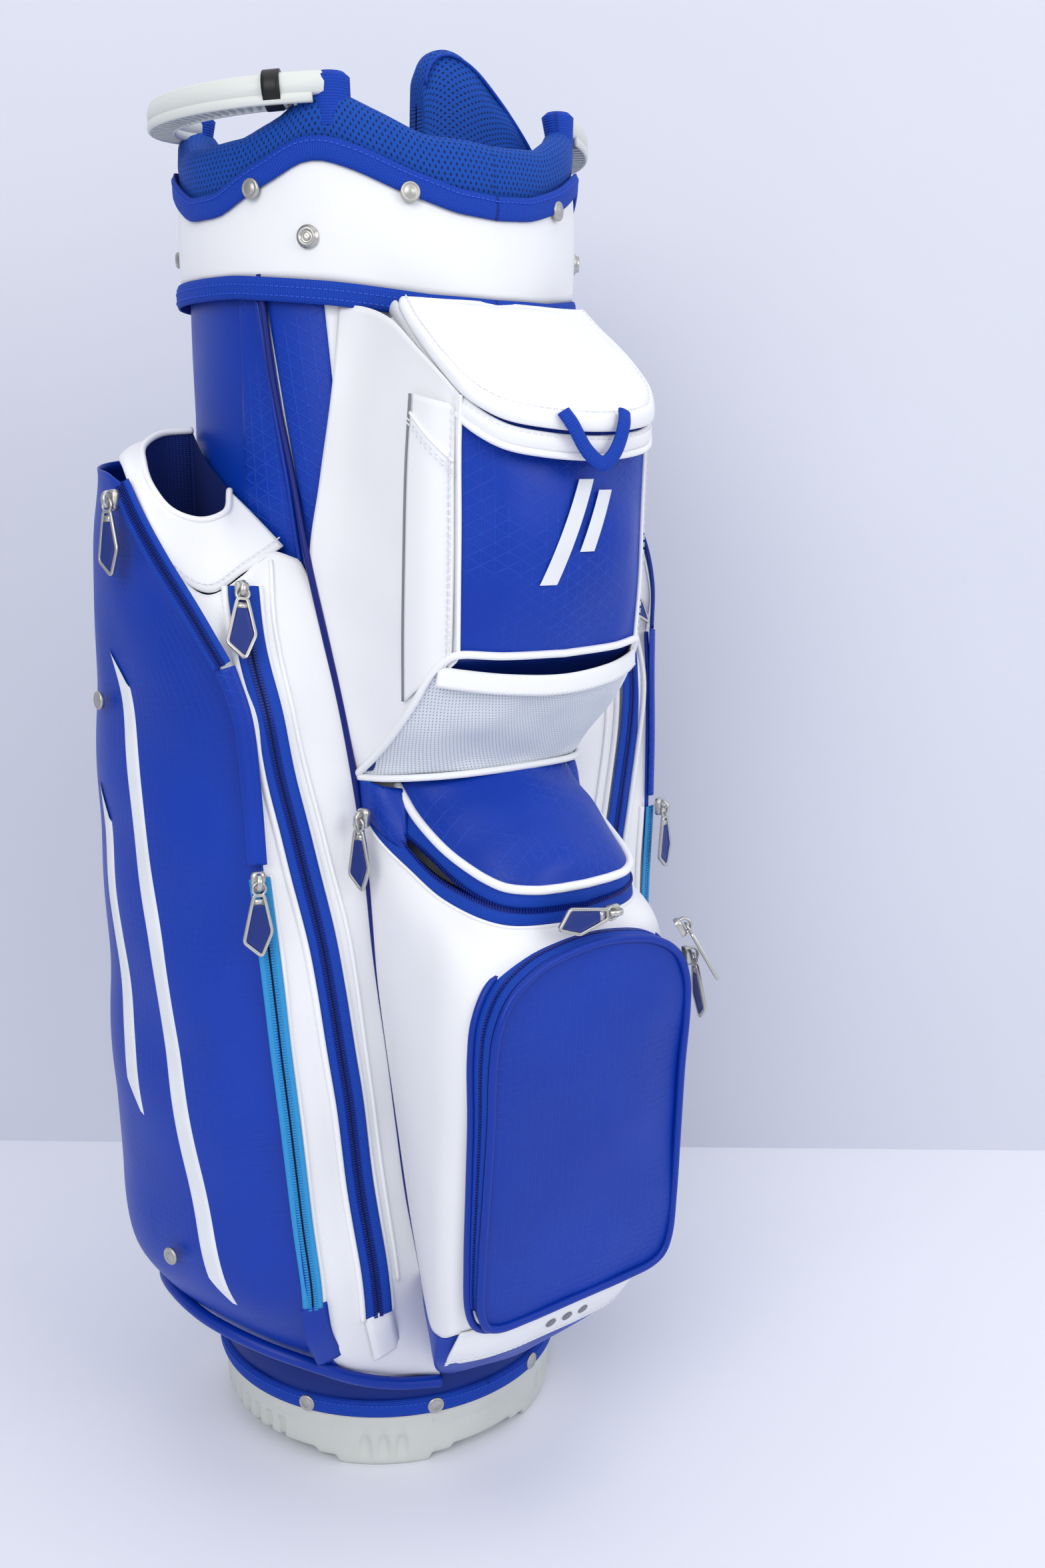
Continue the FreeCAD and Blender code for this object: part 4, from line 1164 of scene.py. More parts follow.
def lower_body_pieces():
    grid = patch([both(row) for row in LOWER_BODY][::-1], 130, 90)
    grid = rumple(grid, 1.8, 60.0, 30.0)
    show("lower_body_cover", grid, "bag", "white", "white_leather", ["mid_pocket", "ball_pocket"], depth=1.4)
    grid = patch([both(row) for row in BOTTOM][::-1], 90, 50)
    show("front_bottom", rumple(grid, 2.0, 36.0, 33.0), "bag", "blue", "blue_fabric", depth=1.2)
    rows = [[(-75, -192, 149.5), (-48, -202, 152), (0, -205.5, 153.5)],
            [(-76, -183.5, 133), (-48, -196, 137), (0, -199.5, 138.5)],
            [(-72, -171, 116), (-46, -184.5, 119.5), (0, -188.5, 121)]]
    band = patch([both(row) for row in rows][::-1], 60, 24)
    band = rumple(puff(band, 1.4, 0.3), 1.0, 28.0, 2.0)
    show("label_band_cover", band, "bag", "white", "white_leather", ["label_band"], depth=1.6)
    line = band[4] + P(0, -0.6, 0)
    bits("label_band_stitches", stitches(line, P(0, -0.8, -0.4), 0.0, 3.6), "bag", "thread", "white_leather")
    run("label_band_edge", band[-1], P(0, -1, 0.3), round_section(1.2), "bag", "trim", "white_leather")
    parts = []
    for x in (-13.0, 0.0, 13.0):
        centre = band[13, 30] + P(x, -0.6 + 0.0016 * x * x, 0)
        parts.append(disc_data(centre, P(0, -0.85, -0.45), [(3.6, -0.4), (3.6, 0.25), (0.1, 0.3)], 24))
    bits("label_dots", parts, "bag", "grey_print", "white_leather", smooth=True)


def lid_pieces():
    grid = patch([both(row) for row in LID], 70, 60)
    grid = rumple(grid, 1.6, 34.0, 41.0)
    show("mid_lid_cover", grid, "mid_lid", "facets", "blue_fabric", ["mid_lid"], depth=2.5, flip=True)
    left = [row[0] for row in LID]
    edge = spline(left + [(-33, -208.3, 425), (-18, -211.5, 424.5)], 90)
    edge = np.vstack([edge, [P(0, -212.4, 424.3)], mirror(edge, 1)[::-1]])
    edge = even(edge, 170)
    out = unit(np.column_stack([edge[:, 0], edge[:, 1] + 150, np.full(len(edge), -25.0)]))
    run("mid_lid_piping", edge + out * 0.8, out, round_section(2.7), "mid_lid", "trim", "white_leather")
    rim = spline([row for row in LOWER_BODY[0]], 90)
    rim = np.vstack([rim, mirror(rim[:-1], 1)[::-1]])
    rim = even(rim, 170)
    return edge, rim, out


def zip_between(name, upper, lower, out, gap, bodies, tape, teeth, slot="zip_tape", nodes=()):
    # Two tapes from two seams to a shared middle line, with a row of teeth on each; gap opens them.
    middle = (upper + lower) / 2
    across = unit(upper - lower)
    for part, (seam, sign, body) in enumerate(((upper, 1, bodies[0]), (lower, -1, bodies[1]))):
        inner = middle + across * (0.5 + gap[:, None]) * sign
        if sign > 0:
            quarter = (inner * 0.5 + seam * 0.5) + out * 0.7
        else:
            quarter = (inner * 0.5 + seam * 0.5) + out * 0.7
        grid = np.array([even([a, b, c], 7) for a, b, c in zip(seam, quarter, inner)]).transpose(1, 0, 2)
        uv = np.zeros(grid.shape[:2] + (2,))
        steps = np.concatenate([[0], np.cumsum(np.linalg.norm(np.diff(seam, axis=0), axis=1))])
        uv[..., 1] = steps[None]
        uv[..., 0] = np.linspace(0, 8, 7)[:, None]
        obj = grid_object(f"{name}_tape_{part}", grid, uvs=uv.reshape(-1, 2), flip=sign > 0)
        thick(obj, 0.7)
        finish_piece(obj, body, M[tape], slot, nodes if part == 1 else ())
        rows = small_blocks(inner, out, 1.7, P(2.6, 1.0, 1.1), 0.1)
        bits(f"{name}_teeth_{part}", rows, body, teeth, slot)


def mid_zip_pieces():
    edge, rim, out = lid_pieces()
    count = len(edge)
    gap = np.zeros(count)
    where = np.linspace(0, 1, count)
    gap += 3.0 * np.exp(-((where - 0.17) / 0.09) ** 2)
    zip_between("mid_zip", edge - P(0, 0, 2.6), rim + P(0, 0, 0.5), out, gap, ("mid_lid", "bag"), "tape",
                "teeth",
                nodes=["mid_zip"])
    # Painted shade: a near-black sheet under the lid, seen through the zip's opening as the dark inside of
    # the pocket.
    inside = patch([both([(-60, -120, 440), (-50, -160, 425), (0, -175, 420)]),
                    both([(-62, -150, 425), (-48, -190, 408), (0, -205, 405)])], 30, 8)
    show("mid_pocket_painted_shade", inside - P(0, 0, 8), "bag", "dark", "liner", depth=0.6)
    rows = [[(-81, -95, 478), (-75, -112, 474), (-64, -118, 472)],
            [(-80.5, -96, 468), (-76, -113, 462), (-66, -125, 458)],
            [(-80, -97, 457), (-77, -113, 445), (-71, -132, 436)]]
    for side, tag in ((-1, "left"), (1, "right")):
        fold = patch([mirror(row, side) for row in rows][::-1], 16, 16)
        show(f"mid_zip_garage_{tag}", puff(fold, 2.0 * (1 if side < 0 else -1), 0.4), "bag", "facets",
             "blue_fabric", depth=1.2, flip=side > 0)
    run("mid_rim_seam", rim + out * 0.4, out, round_section(1.0), "bag", "trim", "white_leather")


# ---------------------------------------------------------------- the ball pocket's door

DOOR_EDGE = [(0, 158), (-40, 158), (-62, 159.5), (-71, 164), (-75.5, 175), (-76.5, 205), (-75.5, 250),
             (-74.5, 295),
             (-75, 332), (-72.5, 354), (-63, 372), (-44, 384), (-20, 389.5), (0, 391)]


def door_front(z):
    return 213.0 + 13.0 * np.clip((z - 158) / 210.0, 0, 1.05)


def door_loop(grow, count=260):
    left = [(x, z) for x, z in DOOR_EDGE]
    whole = left + [(-x, z) for x, z in left[1:-1]][::-1]
    loop = spline([(x, 0, z) for x, z in whole], count, closed=True)
    middle = P(0, 0, 272)
    out = unit(loop - middle)
    tangent = unit(np.roll(loop, -1, axis=0) - np.roll(loop, 1, axis=0))
    normal = np.cross(tangent, P(0, 1, 0))
    normal *= np.sign((normal * out).sum(1))[:, None]
    return loop + normal * grow, normal


def door_pieces():
    loop, normal = door_loop(0.0)
    front = -door_front(loop[:, 2])
    count = len(loop)
    inner = loop.copy()
    inner[:, 1] = front
    middle = P(0, 0, 272)
    rings = [0.995, 0.97, 0.93, 0.86, 0.76, 0.62, 0.46, 0.3, 0.14, 0.0005]
    made = []
    for share in rings:
        ring = middle + (inner - middle) * P(share, 1, share)
        crown = 4.2 * (1 - share ** 2.6) * (0.55 + 0.45 * np.sin(np.clip((ring[:, 2] - 150) / 240, 0,
                                                                         1) * math.pi))
        ring[:, 1] = -door_front(ring[:, 2]) - crown + 1.0
        made.append(ring)
    grid = np.array(made)
    grid = rumple(grid, 1.5, 45.0, 51.0, hold=False, closed=True)
    uv = np.stack([grid[..., 0], grid[..., 2]], axis=-1).reshape(-1, 2)
    face = grid_object("ball_door_cover", grid, True, uv)
    finish_piece(face, "ball_door", M["ripstop"], "blue_fabric", ["ball_door"])
    run("ball_door_piping", inner + normal * 0.4, P(0, -1, 0), round_section(2.6), "ball_door", "piping",
        "blue_fabric",
        closed=True)
    back = loop.copy()
    back[:, 1] = -205.9
    lining = middle + (back - middle) * P(0.97, 1, 0.97)
    close = np.array([lining, middle + (lining - middle) * P(0.5, 1, 0.5),
                      middle + (lining - middle) * P(0.01, 1, 0.01)])
    close[..., 1] = -206.2
    show("ball_door_lining", close, "ball_door", "lining", "blue_fabric", closed=True)
    wall = np.array([inner, (inner + back) / 2 + normal * 1.2, back])
    outer, _ = door_loop(3.4)
    seam = outer.copy()
    seam[:, 1] = -206.0 - 1.5 * np.clip((outer[:, 2] - 158) / 210.0, 0, 1)
    run("ball_outer_piping", seam + normal * 0.6, P(0, -1, 0), round_section(2.4), "bag", "piping",
        "blue_fabric",
        closed=True)
    top = [k for k in range(count) if loop[k, 2] > 176 or abs(loop[k, 0]) > 80]
    show("ball_door_wall", wall, "ball_door", "piping", "blue_fabric", closed=True, flip=True)
    zip_normal = np.array([normal[k] for k in top])
    upper = np.array([inner[k] for k in top]) + zip_normal * 1.6 + P(0, 2.6, 0)
    lower = np.array([seam[k] for k in top]) + P(0, -2.0, 0) - zip_normal * 0.6
    zip_between("ball_zip", upper, lower, zip_normal, np.zeros(len(top)), ("ball_door", "bag"), "tape",
                "teeth",
                nodes=["ball_zip"])


# ---------------------------------------------------------------- side pockets (drawn for the left, mirrored)

OUTER_PANEL = [
    [(-185, -14, 648), (-188, 4, 655), (-184, 26, 657), (-168, 50, 660), (-140, 64, 663), (-104, 62, 668)],
    [(-183, -49, 603), (-190, -20, 604), (-192, 12, 605), (-184, 44, 606), (-156, 76, 606), (-94, 82, 608)],
    [(-163.5, -84, 547), (-183, -52, 547), (-192, -6, 547), (-190, 36, 547), (-162, 80, 547), (-93, 83, 547)],
    [(-155.5, -95.5, 519), (-179, -62, 519), (-192, -12, 519), (-191, 34, 519), (-163, 81, 519),
     (-93, 83, 519)],
    [(-153.5, -99, 473), (-177, -68, 473), (-192, -17, 473), (-192, 32, 473), (-164, 82, 473),
     (-93, 83, 473)],
    [(-149, -104, 373), (-175, -75, 373), (-192, -21, 373), (-192, 31, 373), (-164, 82, 373), (-93, 83, 373)],
    [(-145, -109, 290), (-174, -80, 290), (-192, -25, 290), (-192, 30, 290), (-163, 82, 290), (-93, 83, 290)],
    [(-140, -114, 208), (-171, -84, 208), (-191, -28, 208), (-190, 30, 208), (-161, 81, 208), (-93, 83, 208)],
    [(-136, -117, 160), (-166, -87, 158), (-186, -30, 156), (-186, 28, 156), (-156, 80, 156), (-93, 83, 156)],
    [(-128, -111, 130), (-152, -80, 127), (-170, -30, 128), (-170, 26, 128), (-143, 74, 128), (-93, 83, 130)],
    [(-106, -98, 93), (-124, -70, 92), (-138, -26, 94), (-138, 22, 94), (-120, 62, 94), (-91, 82, 94)],
    [(-89, -90, 76), (-101, -68, 76), (-117, -26, 78), (-118, 20, 78), (-104, 60, 78), (-88, 80, 78)],
]

GUSSET = [
    [(-180, -60, 602), (-160, -63, 588), (-137, -63, 598), (-118, -60, 611), (-101, -67, 606)],
    [(-172, -78, 571), (-155, -75, 568), (-134, -73, 572), (-114, -73, 578), (-97, -78, 586)],
    [(-163.5, -84, 547), (-150, -83, 548), (-129, -81, 551), (-111, -81, 555), (-94, -83.5, 560)],
    [(-155.5, -95.5, 519), (-142, -93, 519), (-124, -91, 519), (-106, -89, 517), (-88, -90, 515)],
    [(-153.5, -99, 473), (-138, -98.5, 473), (-120, -97.5, 472), (-100, -97, 470), (-83, -95, 468)],
    [(-151, -101.5, 429), (-136, -101.5, 429), (-116, -101, 429), (-98, -100, 428), (-78, -98.5, 427)],
    [(-149, -104, 373), (-133, -105, 373), (-114, -104.5, 373), (-94, -103.5, 373), (-75, -101, 373)],
    [(-145, -109, 290), (-127, -110, 290), (-103, -109.5, 290), (-86, -109, 290), (-67, -107, 290)],
    [(-140, -114, 208), (-122, -115, 208), (-96, -114.5, 208), (-78, -114.5, 208), (-59, -111.5, 208)],
    [(-136, -117, 160), (-118, -118, 160), (-90, -118.5, 160), (-72, -117.5, 160), (-52, -115, 160)],
    [(-128, -111, 130), (-113, -114, 124), (-87, -117, 121), (-68, -118, 121), (-47, -117, 124)],
    [(-106, -98, 93), (-98, -102, 90), (-80, -108, 88), (-62, -112.5, 86), (-42, -118, 90)],
    [(-89, -90, 76), (-82, -95, 74), (-68, -104, 72), (-54, -110, 70), (-38, -118.5, 69)],
]

MOUTH_IN = [(-119, 30, 680), (-140, 29, 678), (-158, 16, 671), (-169, -6, 661), (-174, -26, 648),
            (-168, -37, 635),
            (-152, -41, 629), (-134, -38, 633), (-121, -20, 645)]
MOUTH_OUT = [(-112, 50, 676), (-142, 50, 669), (-168, 28, 664), (-181, -4, 657), (-185, -30, 637),
             (-181, -58, 605),
             (-158, -62, 589), (-135, -62, 600), (-108, -60, 614)]

LONG_ZIP = [(-139, -60, 592), (-143, -81, 552), (-137, -94, 491), (-124, -99, 429), (-112, -104, 366),
            (-104, -109, 301),
            (-95, -114, 211), (-87, -117.6, 132)]
CYAN_ZIP = [(-153, -101, 428), (-148.5, -104.6, 370), (-143, -109, 290), (-137.5, -114.6, 211),
            (-133, -117, 153)]
OUTER_ZIP = [(-187.5, -16, 648), (-187.5, -34, 630), (-184, -56, 606), (-175, -75, 578), (-164, -87, 550)]
GARAGE = [(-163, -88, 549), (-157, -95, 520), (-155, -99, 480), (-153.6, -101, 436)]


def zip_line(name, path, out, half, body, tape, teeth, slot="zip_tape", nodes=()):
    # A closed zip lying on a seam: two tapes, a row of teeth on each, and a near-black strip of painted shade
    # in the gap between the teeth rows.
    _, side, outward = frames_along(path, out)
    for part, sign in enumerate((-1, 1)):
        centre = path + side * (half / 2 + 0.3) * sign
        section = strip_section(half - 0.6, 0.9, 0.25)
        run(f"{name}_tape_{part}", centre, outward, section, body, tape, slot, nodes if part == 0 else ())
        rows = small_blocks(path, outward, 1.7, P(2.3, 1.0, 0.9), 0.7, 1.9 * sign)
        bits(f"{name}_teeth_{part}", rows, body, teeth, slot)
    # Painted shade: a near-black band between the teeth rows, standing for the shadow in that gap.
    run(f"{name}_painted_shade_gap", path, outward, strip_section(1.4, 0.5, 0.0), body, "dark", slot)


def on_grid(grid, u, v):
    # A point of a grid at shares u along its rows and v up its columns.
    rows, cols = grid.shape[0] - 1, grid.shape[1] - 1
    i, k = min(v * rows, rows - 1e-6), min(u * cols, cols - 1e-6)
    r, c = int(i), int(k)
    fi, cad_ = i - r, k - c
    top = grid[r, c] * (1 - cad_) + grid[r, c + 1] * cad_
    low = grid[r + 1, c] * (1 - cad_) + grid[r + 1, c + 1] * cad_
    return top * (1 - fi) + low * fi


def blade(name, grid, spine, half, lift, material, flip):
    # A plain slanted bar printed on a panel: its middle line and half width in shares of the panel.
    line = spline([(u, v, 0) for u, v in spine], 90)
    out = normals_of(grid)
    made = []
    for u, v, _ in line:
        row = []
        for side in np.linspace(-1, 1, 9):
            share, height = min(max(u + side * half, 0.005), 0.995), v - side * 0.02
            normal = unit(on_grid(out, share, height))
            row.append(on_grid(grid, share, height) + normal * lift * (1.0 if abs(side) < 0.95 else -0.2))
        made.append(row)
    return show(name, np.array(made), "bag", material, "white_leather", flip=flip)


def draped(path, grid, lift):
    # A path moved in or out until it lies on a front-facing grid, a small lift above it.
    flat = grid.reshape(-1, 3)
    made = path.copy()
    for point in made:
        gap = np.hypot(flat[:, 0] - point[0], flat[:, 2] - point[2])
        near = np.argsort(gap)[:6]
        share = 1.0 / (gap[near] + 0.4) ** 2
        point[1] = (flat[near, 1] * share).sum() / share.sum() - lift
    soft = made.copy()
    for _ in range(6):
        soft[1:-1] = (soft[:-2] + soft[1:-1] * 2 + soft[2:]) / 4
    return soft


def side_pocket_pieces():
    for side, tag in ((-1, "left"), (1, "right")):
        flip = side > 0
        face_out = 1.0 if flip else -1.0
        raw = patch([mirror(row, side) for row in OUTER_PANEL], 84, 150)
        grid = puff(raw, 3.0, 0.22, outward=face_out)
        grid = rumple(grid, 2.6, 62.0, 60.0 + side)
        panel = show(f"side_panel_{tag}", grid, "bag", "ripstop", "blue_fabric", [f"side_pocket_{tag}"],
                     depth=1.4,
                     flip=flip)
        lift = -face_out
        blade(f"side_stripe_{tag}", grid, [(0.36, 0.20), (0.31, 0.41), (0.26, 0.62), (0.21, 0.83)], 0.030,
              lift, "print", flip)
        blade(f"side_stripe_short_{tag}", grid, [(0.49, 0.34), (0.455, 0.49), (0.42, 0.64)], 0.030, lift,
              "print", flip)
        band = patch([mirror(row, side) for row in GUSSET], 60, 130)
        band = rumple(band, 1.6, 50.0, 70.0 + side)
        show(f"side_gusset_{tag}", band, "bag", "white", "white_leather", depth=1.2,
             flip=not flip)
        mouth_pieces_of(side, tag)
        edge = spline([row[0] for row in OUTER_PANEL[2:]], 150)
        edge = mirror(edge, side)
        run(f"side_panel_piping_{tag}", edge, P(side * 0.7, -0.7, 0), round_section(1.8), "bag", "piping",
            "blue_fabric")
        zips = (("long_zip", LONG_ZIP, P(-0.2, -1, 0.15), 9.5, "tape", "teeth", "zip_tape"),
                ("cyan_zip", CYAN_ZIP, P(-0.45, -1, 0.05), 6.2, "cyan", "cyan_teeth", "zip_tape"),
                ("outer_zip", OUTER_ZIP, P(-1, -0.5, 0.25), 6.5, "tape", "teeth", "zip_tape"))
        for name, points, out, half, tape, teeth, slot in zips:
            path = mirror(spline(points, 160), side)
            facing = mirror(out, side)
            if name != "outer_zip":
                path = draped(path, band, 0.6)
            lifted = path + unit(facing) * 1.0
            zip_line(f"{name}_{tag}", lifted, facing, half, "bag", tape, teeth, slot,
                     [f"side_zips_{tag}"] if name == "long_zip" else ())
            if name != "outer_zip":
                _, across, outward = frames_along(path, facing)
                for mark, sign in (("in", -1), ("out", 1)):
                    if name == "cyan_zip" and (sign * side) < 0:
                        continue
                    rim = draped(path + across * (half + 1.4) * sign, band, 1.0)
                    run(f"{name}_edge_{mark}_{tag}", rim, outward, round_section(1.9), "bag", "trim",
                        "white_leather")
        fold = mirror(spline(GARAGE, 60), side)
        fold_out = mirror(P(-0.7, -0.8, 0.1), side)
        run(f"zip_fold_{tag}", fold + unit(fold_out) * 0.6, fold_out, strip_section(12.0, 1.6, 1.8, 7),
            "bag", "facets",
            "blue_fabric")
        seam = mirror(spline([(-118, -64, 606), (-124, -78, 565), (-121, -93, 509), (-108, -99, 444),
                              (-93, -103.6, 373),
                              (-85, -109, 290), (-77, -114.6, 208), (-71, -118, 150)], 120), side)
        seam = draped(seam, band, 0.7)
        run(f"gusset_seam_{tag}", seam, P(0, -1, 0), round_section(1.3), "bag", "trim", "white_leather")
        patch_low = mirror(spline([(-87, -118.4, 134), (-84, -118.4, 122), (-76, -112, 98)], 20), side)
        run(f"long_zip_end_{tag}", patch_low + P(0, -0.9, 0), P(0, -1, -0.3), strip_section(20, 1.2, 0.4),
            "bag",
            "white", "white_leather")
        cyan_low = mirror(spline([(-133, -117.4, 155), (-127, -113, 130), (-114, -104, 104)], 24), side)
        run(f"cyan_zip_end_{tag}", cyan_low + P(0, -0.9, 0), P(-0.3 * -side, -1, -0.2),
            strip_section(17, 1.2, 0.4), "bag",
            "blue", "blue_fabric")
        hem_points = [(-92, 84, 96), (-128, 74, 108), (-160, 34, 117), (-164, -24, 116), (-146, -68, 108),
                      (-118, -98, 96), (-92, -104, 80), (-66, -111, 70), (-38, -119.5, 65)]
        hem = mirror(spline(hem_points, 150), side)
        run(f"hem_piping_{tag}", hem, outward_of(hem) - P(0, 0, 0.6), round_section(4.2), "bag", "piping",
            "blue_fabric")


def mouth_pieces_of(side, tag):
    flip = side > 0
    inner = mirror(spline(MOUTH_IN, 90), side)
    outer = mirror(spline(MOUTH_OUT, 90), side)
    mid = (inner + outer) / 2
    lift = unit(np.column_stack([mid[:, 0] * 0.6, np.minimum(mid[:, 1], 20) * 1.2, np.full(len(mid), 60.0)]))
    rows = []
    for share in np.linspace(0, 1, 14):
        rows.append(inner * (1 - share) + outer * share + lift * 3.0 * math.sin(math.pi * share))
    grid = rumple(np.array(rows), 1.5, 32.0, 80.0 + side)
    show(f"pocket_trim_{tag}", grid, "bag", "white", "white_leather", depth=1.6, flip=not flip)
    run(f"mouth_edge_{tag}", inner, lift, round_section(2.0), "bag", "trim", "white_leather")
    loop = np.vstack([inner, mirror(spline([(-121, -18, 646), (-123, 5, 662), (-120, 28, 679)], 24),
                                    side)[1:-1]])
    rings = []
    for share, drop in ((1.0, 0.0), (1.0, 6.0), (1.03, 30.0), (1.04, 80.0), (1.0, 110.0), (0.05, 112.0)):
        centre = P(side * 147, -5, 0)
        ring = loop.copy()
        ring[:, :2] = centre[:2] + (loop[:, :2] - centre[:2]) * share
        ring[:, 2] = np.minimum(loop[:, 2] - drop, 700)
        reach = np.hypot(ring[:, 0], ring[:, 1])
        ring[:, :2] *= np.maximum(1.0, 119.6 / reach)[:, None]
        rings.append(ring)
    lining = np.array(rings)
    show(f"pocket_lining_{tag}", lining, "bag", "lining", "blue_fabric", closed=True, flip=flip)
    stitched = outer[58:]
    back = (inner[58:] - outer[58:])
    trail = stitched + unit(back) * 4.0 + lift[58:] * 1.6
    bits(f"trim_stitches_{tag}", stitches(trail, lift[58:], 0.8, 3.8), "bag", "thread", "white_leather")


# ---------------------------------------------------------------- sliders, pulls and caps

SIDE_FURNITURE = {
    "outer": ((-192, -16, 640), (0, 0.1, 1), (-1, -0.25, 0.1)),
    "long": ((-141.9, -69.6, 588.9), (0.35, 0.55, 1), (-0.3, -1, 0.6)),
    "cyan": ((-157, -107, 428), (0.05, 0, 1), (-0.35, -1, 0)),
}
FRONT_FURNITURE = {
    "mid_left": ((-86.5, -112, 456), (0, 0, 1), (-1, -0.25, 0)),
    "mid_front": ((12, -220.5, 407), (1, 0, 0), (0, -1, 0.1)),
    "ball_top": ((73, -216, 383), (-0.42, 0.27, 0.86), (0.72, -0.47, 0.5)),
    "ball_side": ((84, -212, 362), (-0.13, 0.09, 0.98), (0.92, -0.34, 0.15)),
}
KITE = [(-2.8, -6.8), (-3.6, -10), (-8.0, -34.5), (2.4, -43.4), (8.0, -28.5), (3.6, -10), (2.8, -6.8)]
PIN_HEIGHT = 6.0


def rounded(points, radius, steps=5):
    # A closed outline with its corners rounded off.
    pts = [P(*p) for p in points]
    made = []
    for before, here, after in zip(pts[-1:] + pts[:-1], pts, pts[1:] + pts[:1]):
        a, b = before - here, after - here
        reach = min(radius, np.linalg.norm(a) * 0.45, np.linalg.norm(b) * 0.45)
        start, end = here + unit(a) * reach, here + unit(b) * reach
        for t in np.linspace(0, 1, steps):
            made.append(start * (1 - t) ** 2 + here * 2 * t * (1 - t) + end * t * t)
    return np.array(made)


def placer(origin, up, normal):
    out = unit(P(*normal))
    upward = P(*up)
    upward = unit(upward - out * np.dot(upward, out))
    across = np.cross(upward, out)

    def place(data):
        verts = np.asarray(data[0])
        moved = (P(*origin) + verts[:, :1] * across + verts[:, 1:2] * upward + verts[:, 2:] * out)
        return moved, data[1]
    return place


def ring_data(centre, radius, tube, upright=False):
    turn = np.linspace(0, 2 * math.pi, 26, endpoint=False)
    if upright:
        path = np.column_stack([np.full(26, centre[0]), centre[1] + radius * np.cos(turn),
                                centre[2] + radius * np.sin(turn)])
        return sweep_data(path, P(1, 0, 0), round_section(tube, 1, 8), True)[:2]
    path = np.column_stack([centre[0] + radius * np.cos(turn), centre[1] + radius * np.sin(turn),
                            np.full(26, centre[2])])
    return sweep_data(path, P(0, 0, 1), round_section(tube, 1, 8), True)[:2]


def slider_parts(place):
    levels = [(4.4, 6.0, 0.0), (4.6, 6.2, 1.2), (4.6, 6.0, 2.8), (4.0, 5.2, 3.8), (2.4, 3.6, 4.2),
              (0.2, 0.3, 4.3)]
    outline = rounded([(-1, 1), (-0.75, -1), (0.75, -1), (1, 1)], 0.7, 6)
    verts = np.vstack([np.column_stack([outline[:, 0] * w, outline[:, 1] * h, np.full(len(outline), z)])
                       for w, h, z in levels])
    n = len(outline)
    faces = [(i * n + k, (i + 1) * n + k, (i + 1) * n + (k + 1) % n, i * n + (k + 1) % n)
             for i in range(len(levels) - 1) for k in range(n)]
    arch = spline([(0, 4.6, 3.4), (0, 4.2, 6.6), (0, 1.4, 8.7), (0, -2.2, 8.3), (0, -4.2, 6.0),
                   (0, -4.4, 3.4)], 26)
    bridge = sweep_data(arch, P(1, 0, 0), round_section(0.9, 1.9, 10))[:2]
    return [place((verts, faces)), place(bridge)]


def pull_parts(place):
    path2 = rounded(KITE, 2.2)
    path = np.column_stack([path2, np.full(len(path2), PIN_HEIGHT)])
    rim = sweep_data(path, P(0, 0, 1), [(-0.95, -0.8), (-0.7, -1.05), (0.7, -1.05), (0.95, -0.8), (0.95, 0.8),
                                        (0.7, 1.05), (-0.7, 1.05), (-0.95, 0.8)], True)[:2]
    eye = ring_data((0, -3.3, PIN_HEIGHT), 3.7, 0.85)
    inset2 = rounded([(-2.8, -12.5), (-7.0, -33.8), (2.2, -41.9), (6.9, -28.2), (2.8, -12.5)], 1.6)
    centre = inset2.mean(0)
    plates = []
    for sign in (-1, 1):
        rings = []
        for share, lift in ((1.0, 0.0), (0.985, 0.75), (0.94, 0.95), (0.88, 0.95), (0.85, 0.75),
                            (0.5, 0.75), (0.02, 0.75)):
            flat = centre + (inset2 - centre) * share
            rings.append(np.column_stack([flat, np.full(len(flat), PIN_HEIGHT + sign * lift)]))
        verts, n = np.vstack(rings), len(inset2)
        faces = [(i * n + k, i * n + (k + 1) % n, (i + 1) * n + (k + 1) % n, (i + 1) * n + k)
                 for i in range(len(rings) - 1) for k in range(n)]
        plates.append(place((verts, faces)))
    web = sweep_data(np.array([[0, -9.2, PIN_HEIGHT], [0, -12.6, PIN_HEIGHT]]), P(0, 0, 1),
                     [(-2.9, -0.7), (2.9, -0.7), (2.9, 0.7), (-2.9, 0.7)])[:2]
    return [place(rim), place(eye), place(web)], plates


def furniture_pieces():
    spots = {}
    for name, (origin, up, normal) in SIDE_FURNITURE.items():
        for side, tag in ((-1, "left"), (1, "right")):
            spots[(f"{name}_slider_{tag}", f"{name}_pull_{tag}")] = [mirror(v, side) for v in (origin, up,
                                                                                               normal)]
    for name, placed in FRONT_FURNITURE.items():
        spots[(f"{name}_slider", f"{name}_pull")] = placed
    for (slider, pull), (origin, up, normal) in spots.items():
        place = placer(origin, up, normal)
        bits(f"{slider}_body", slider_parts(place), slider, "metal", "zip_metal", [slider], smooth=True)
        silver, plates = pull_parts(place)
        bits(f"{pull}_frame", silver, pull, "metal", "zip_metal", [pull], smooth=True)
        bits(f"{pull}_inset", plates, pull, "inset", "zip_metal", smooth=True)


CAP_RINGS = [(5.2, -1.4), (5.7, 0.0), (5.8, 0.6), (5.4, 1.3), (4.7, 1.6), (4.4, 1.45), (3.2, 1.4),
             (3.0, 1.6), (0.1, 1.7)]
STUD_RINGS = [(6.4, -1.6), (6.6, 0.0), (6.5, 0.8), (5.2, 1.1), (4.9, 3.0), (4.5, 3.4), (3.9, 3.2),
              (3.5, 1.6), (2.2, 1.4),
              (2.0, 2.6), (1.5, 2.8), (0.1, 2.5)]


def ring_of_caps(azimuths, radius, height_at, rings):
    # Turned buttons round the barrel, each facing straight out.
    return [disc_data(around(a, radius, height_at(a)), around(a, 1, 0), rings) for a in azimuths]


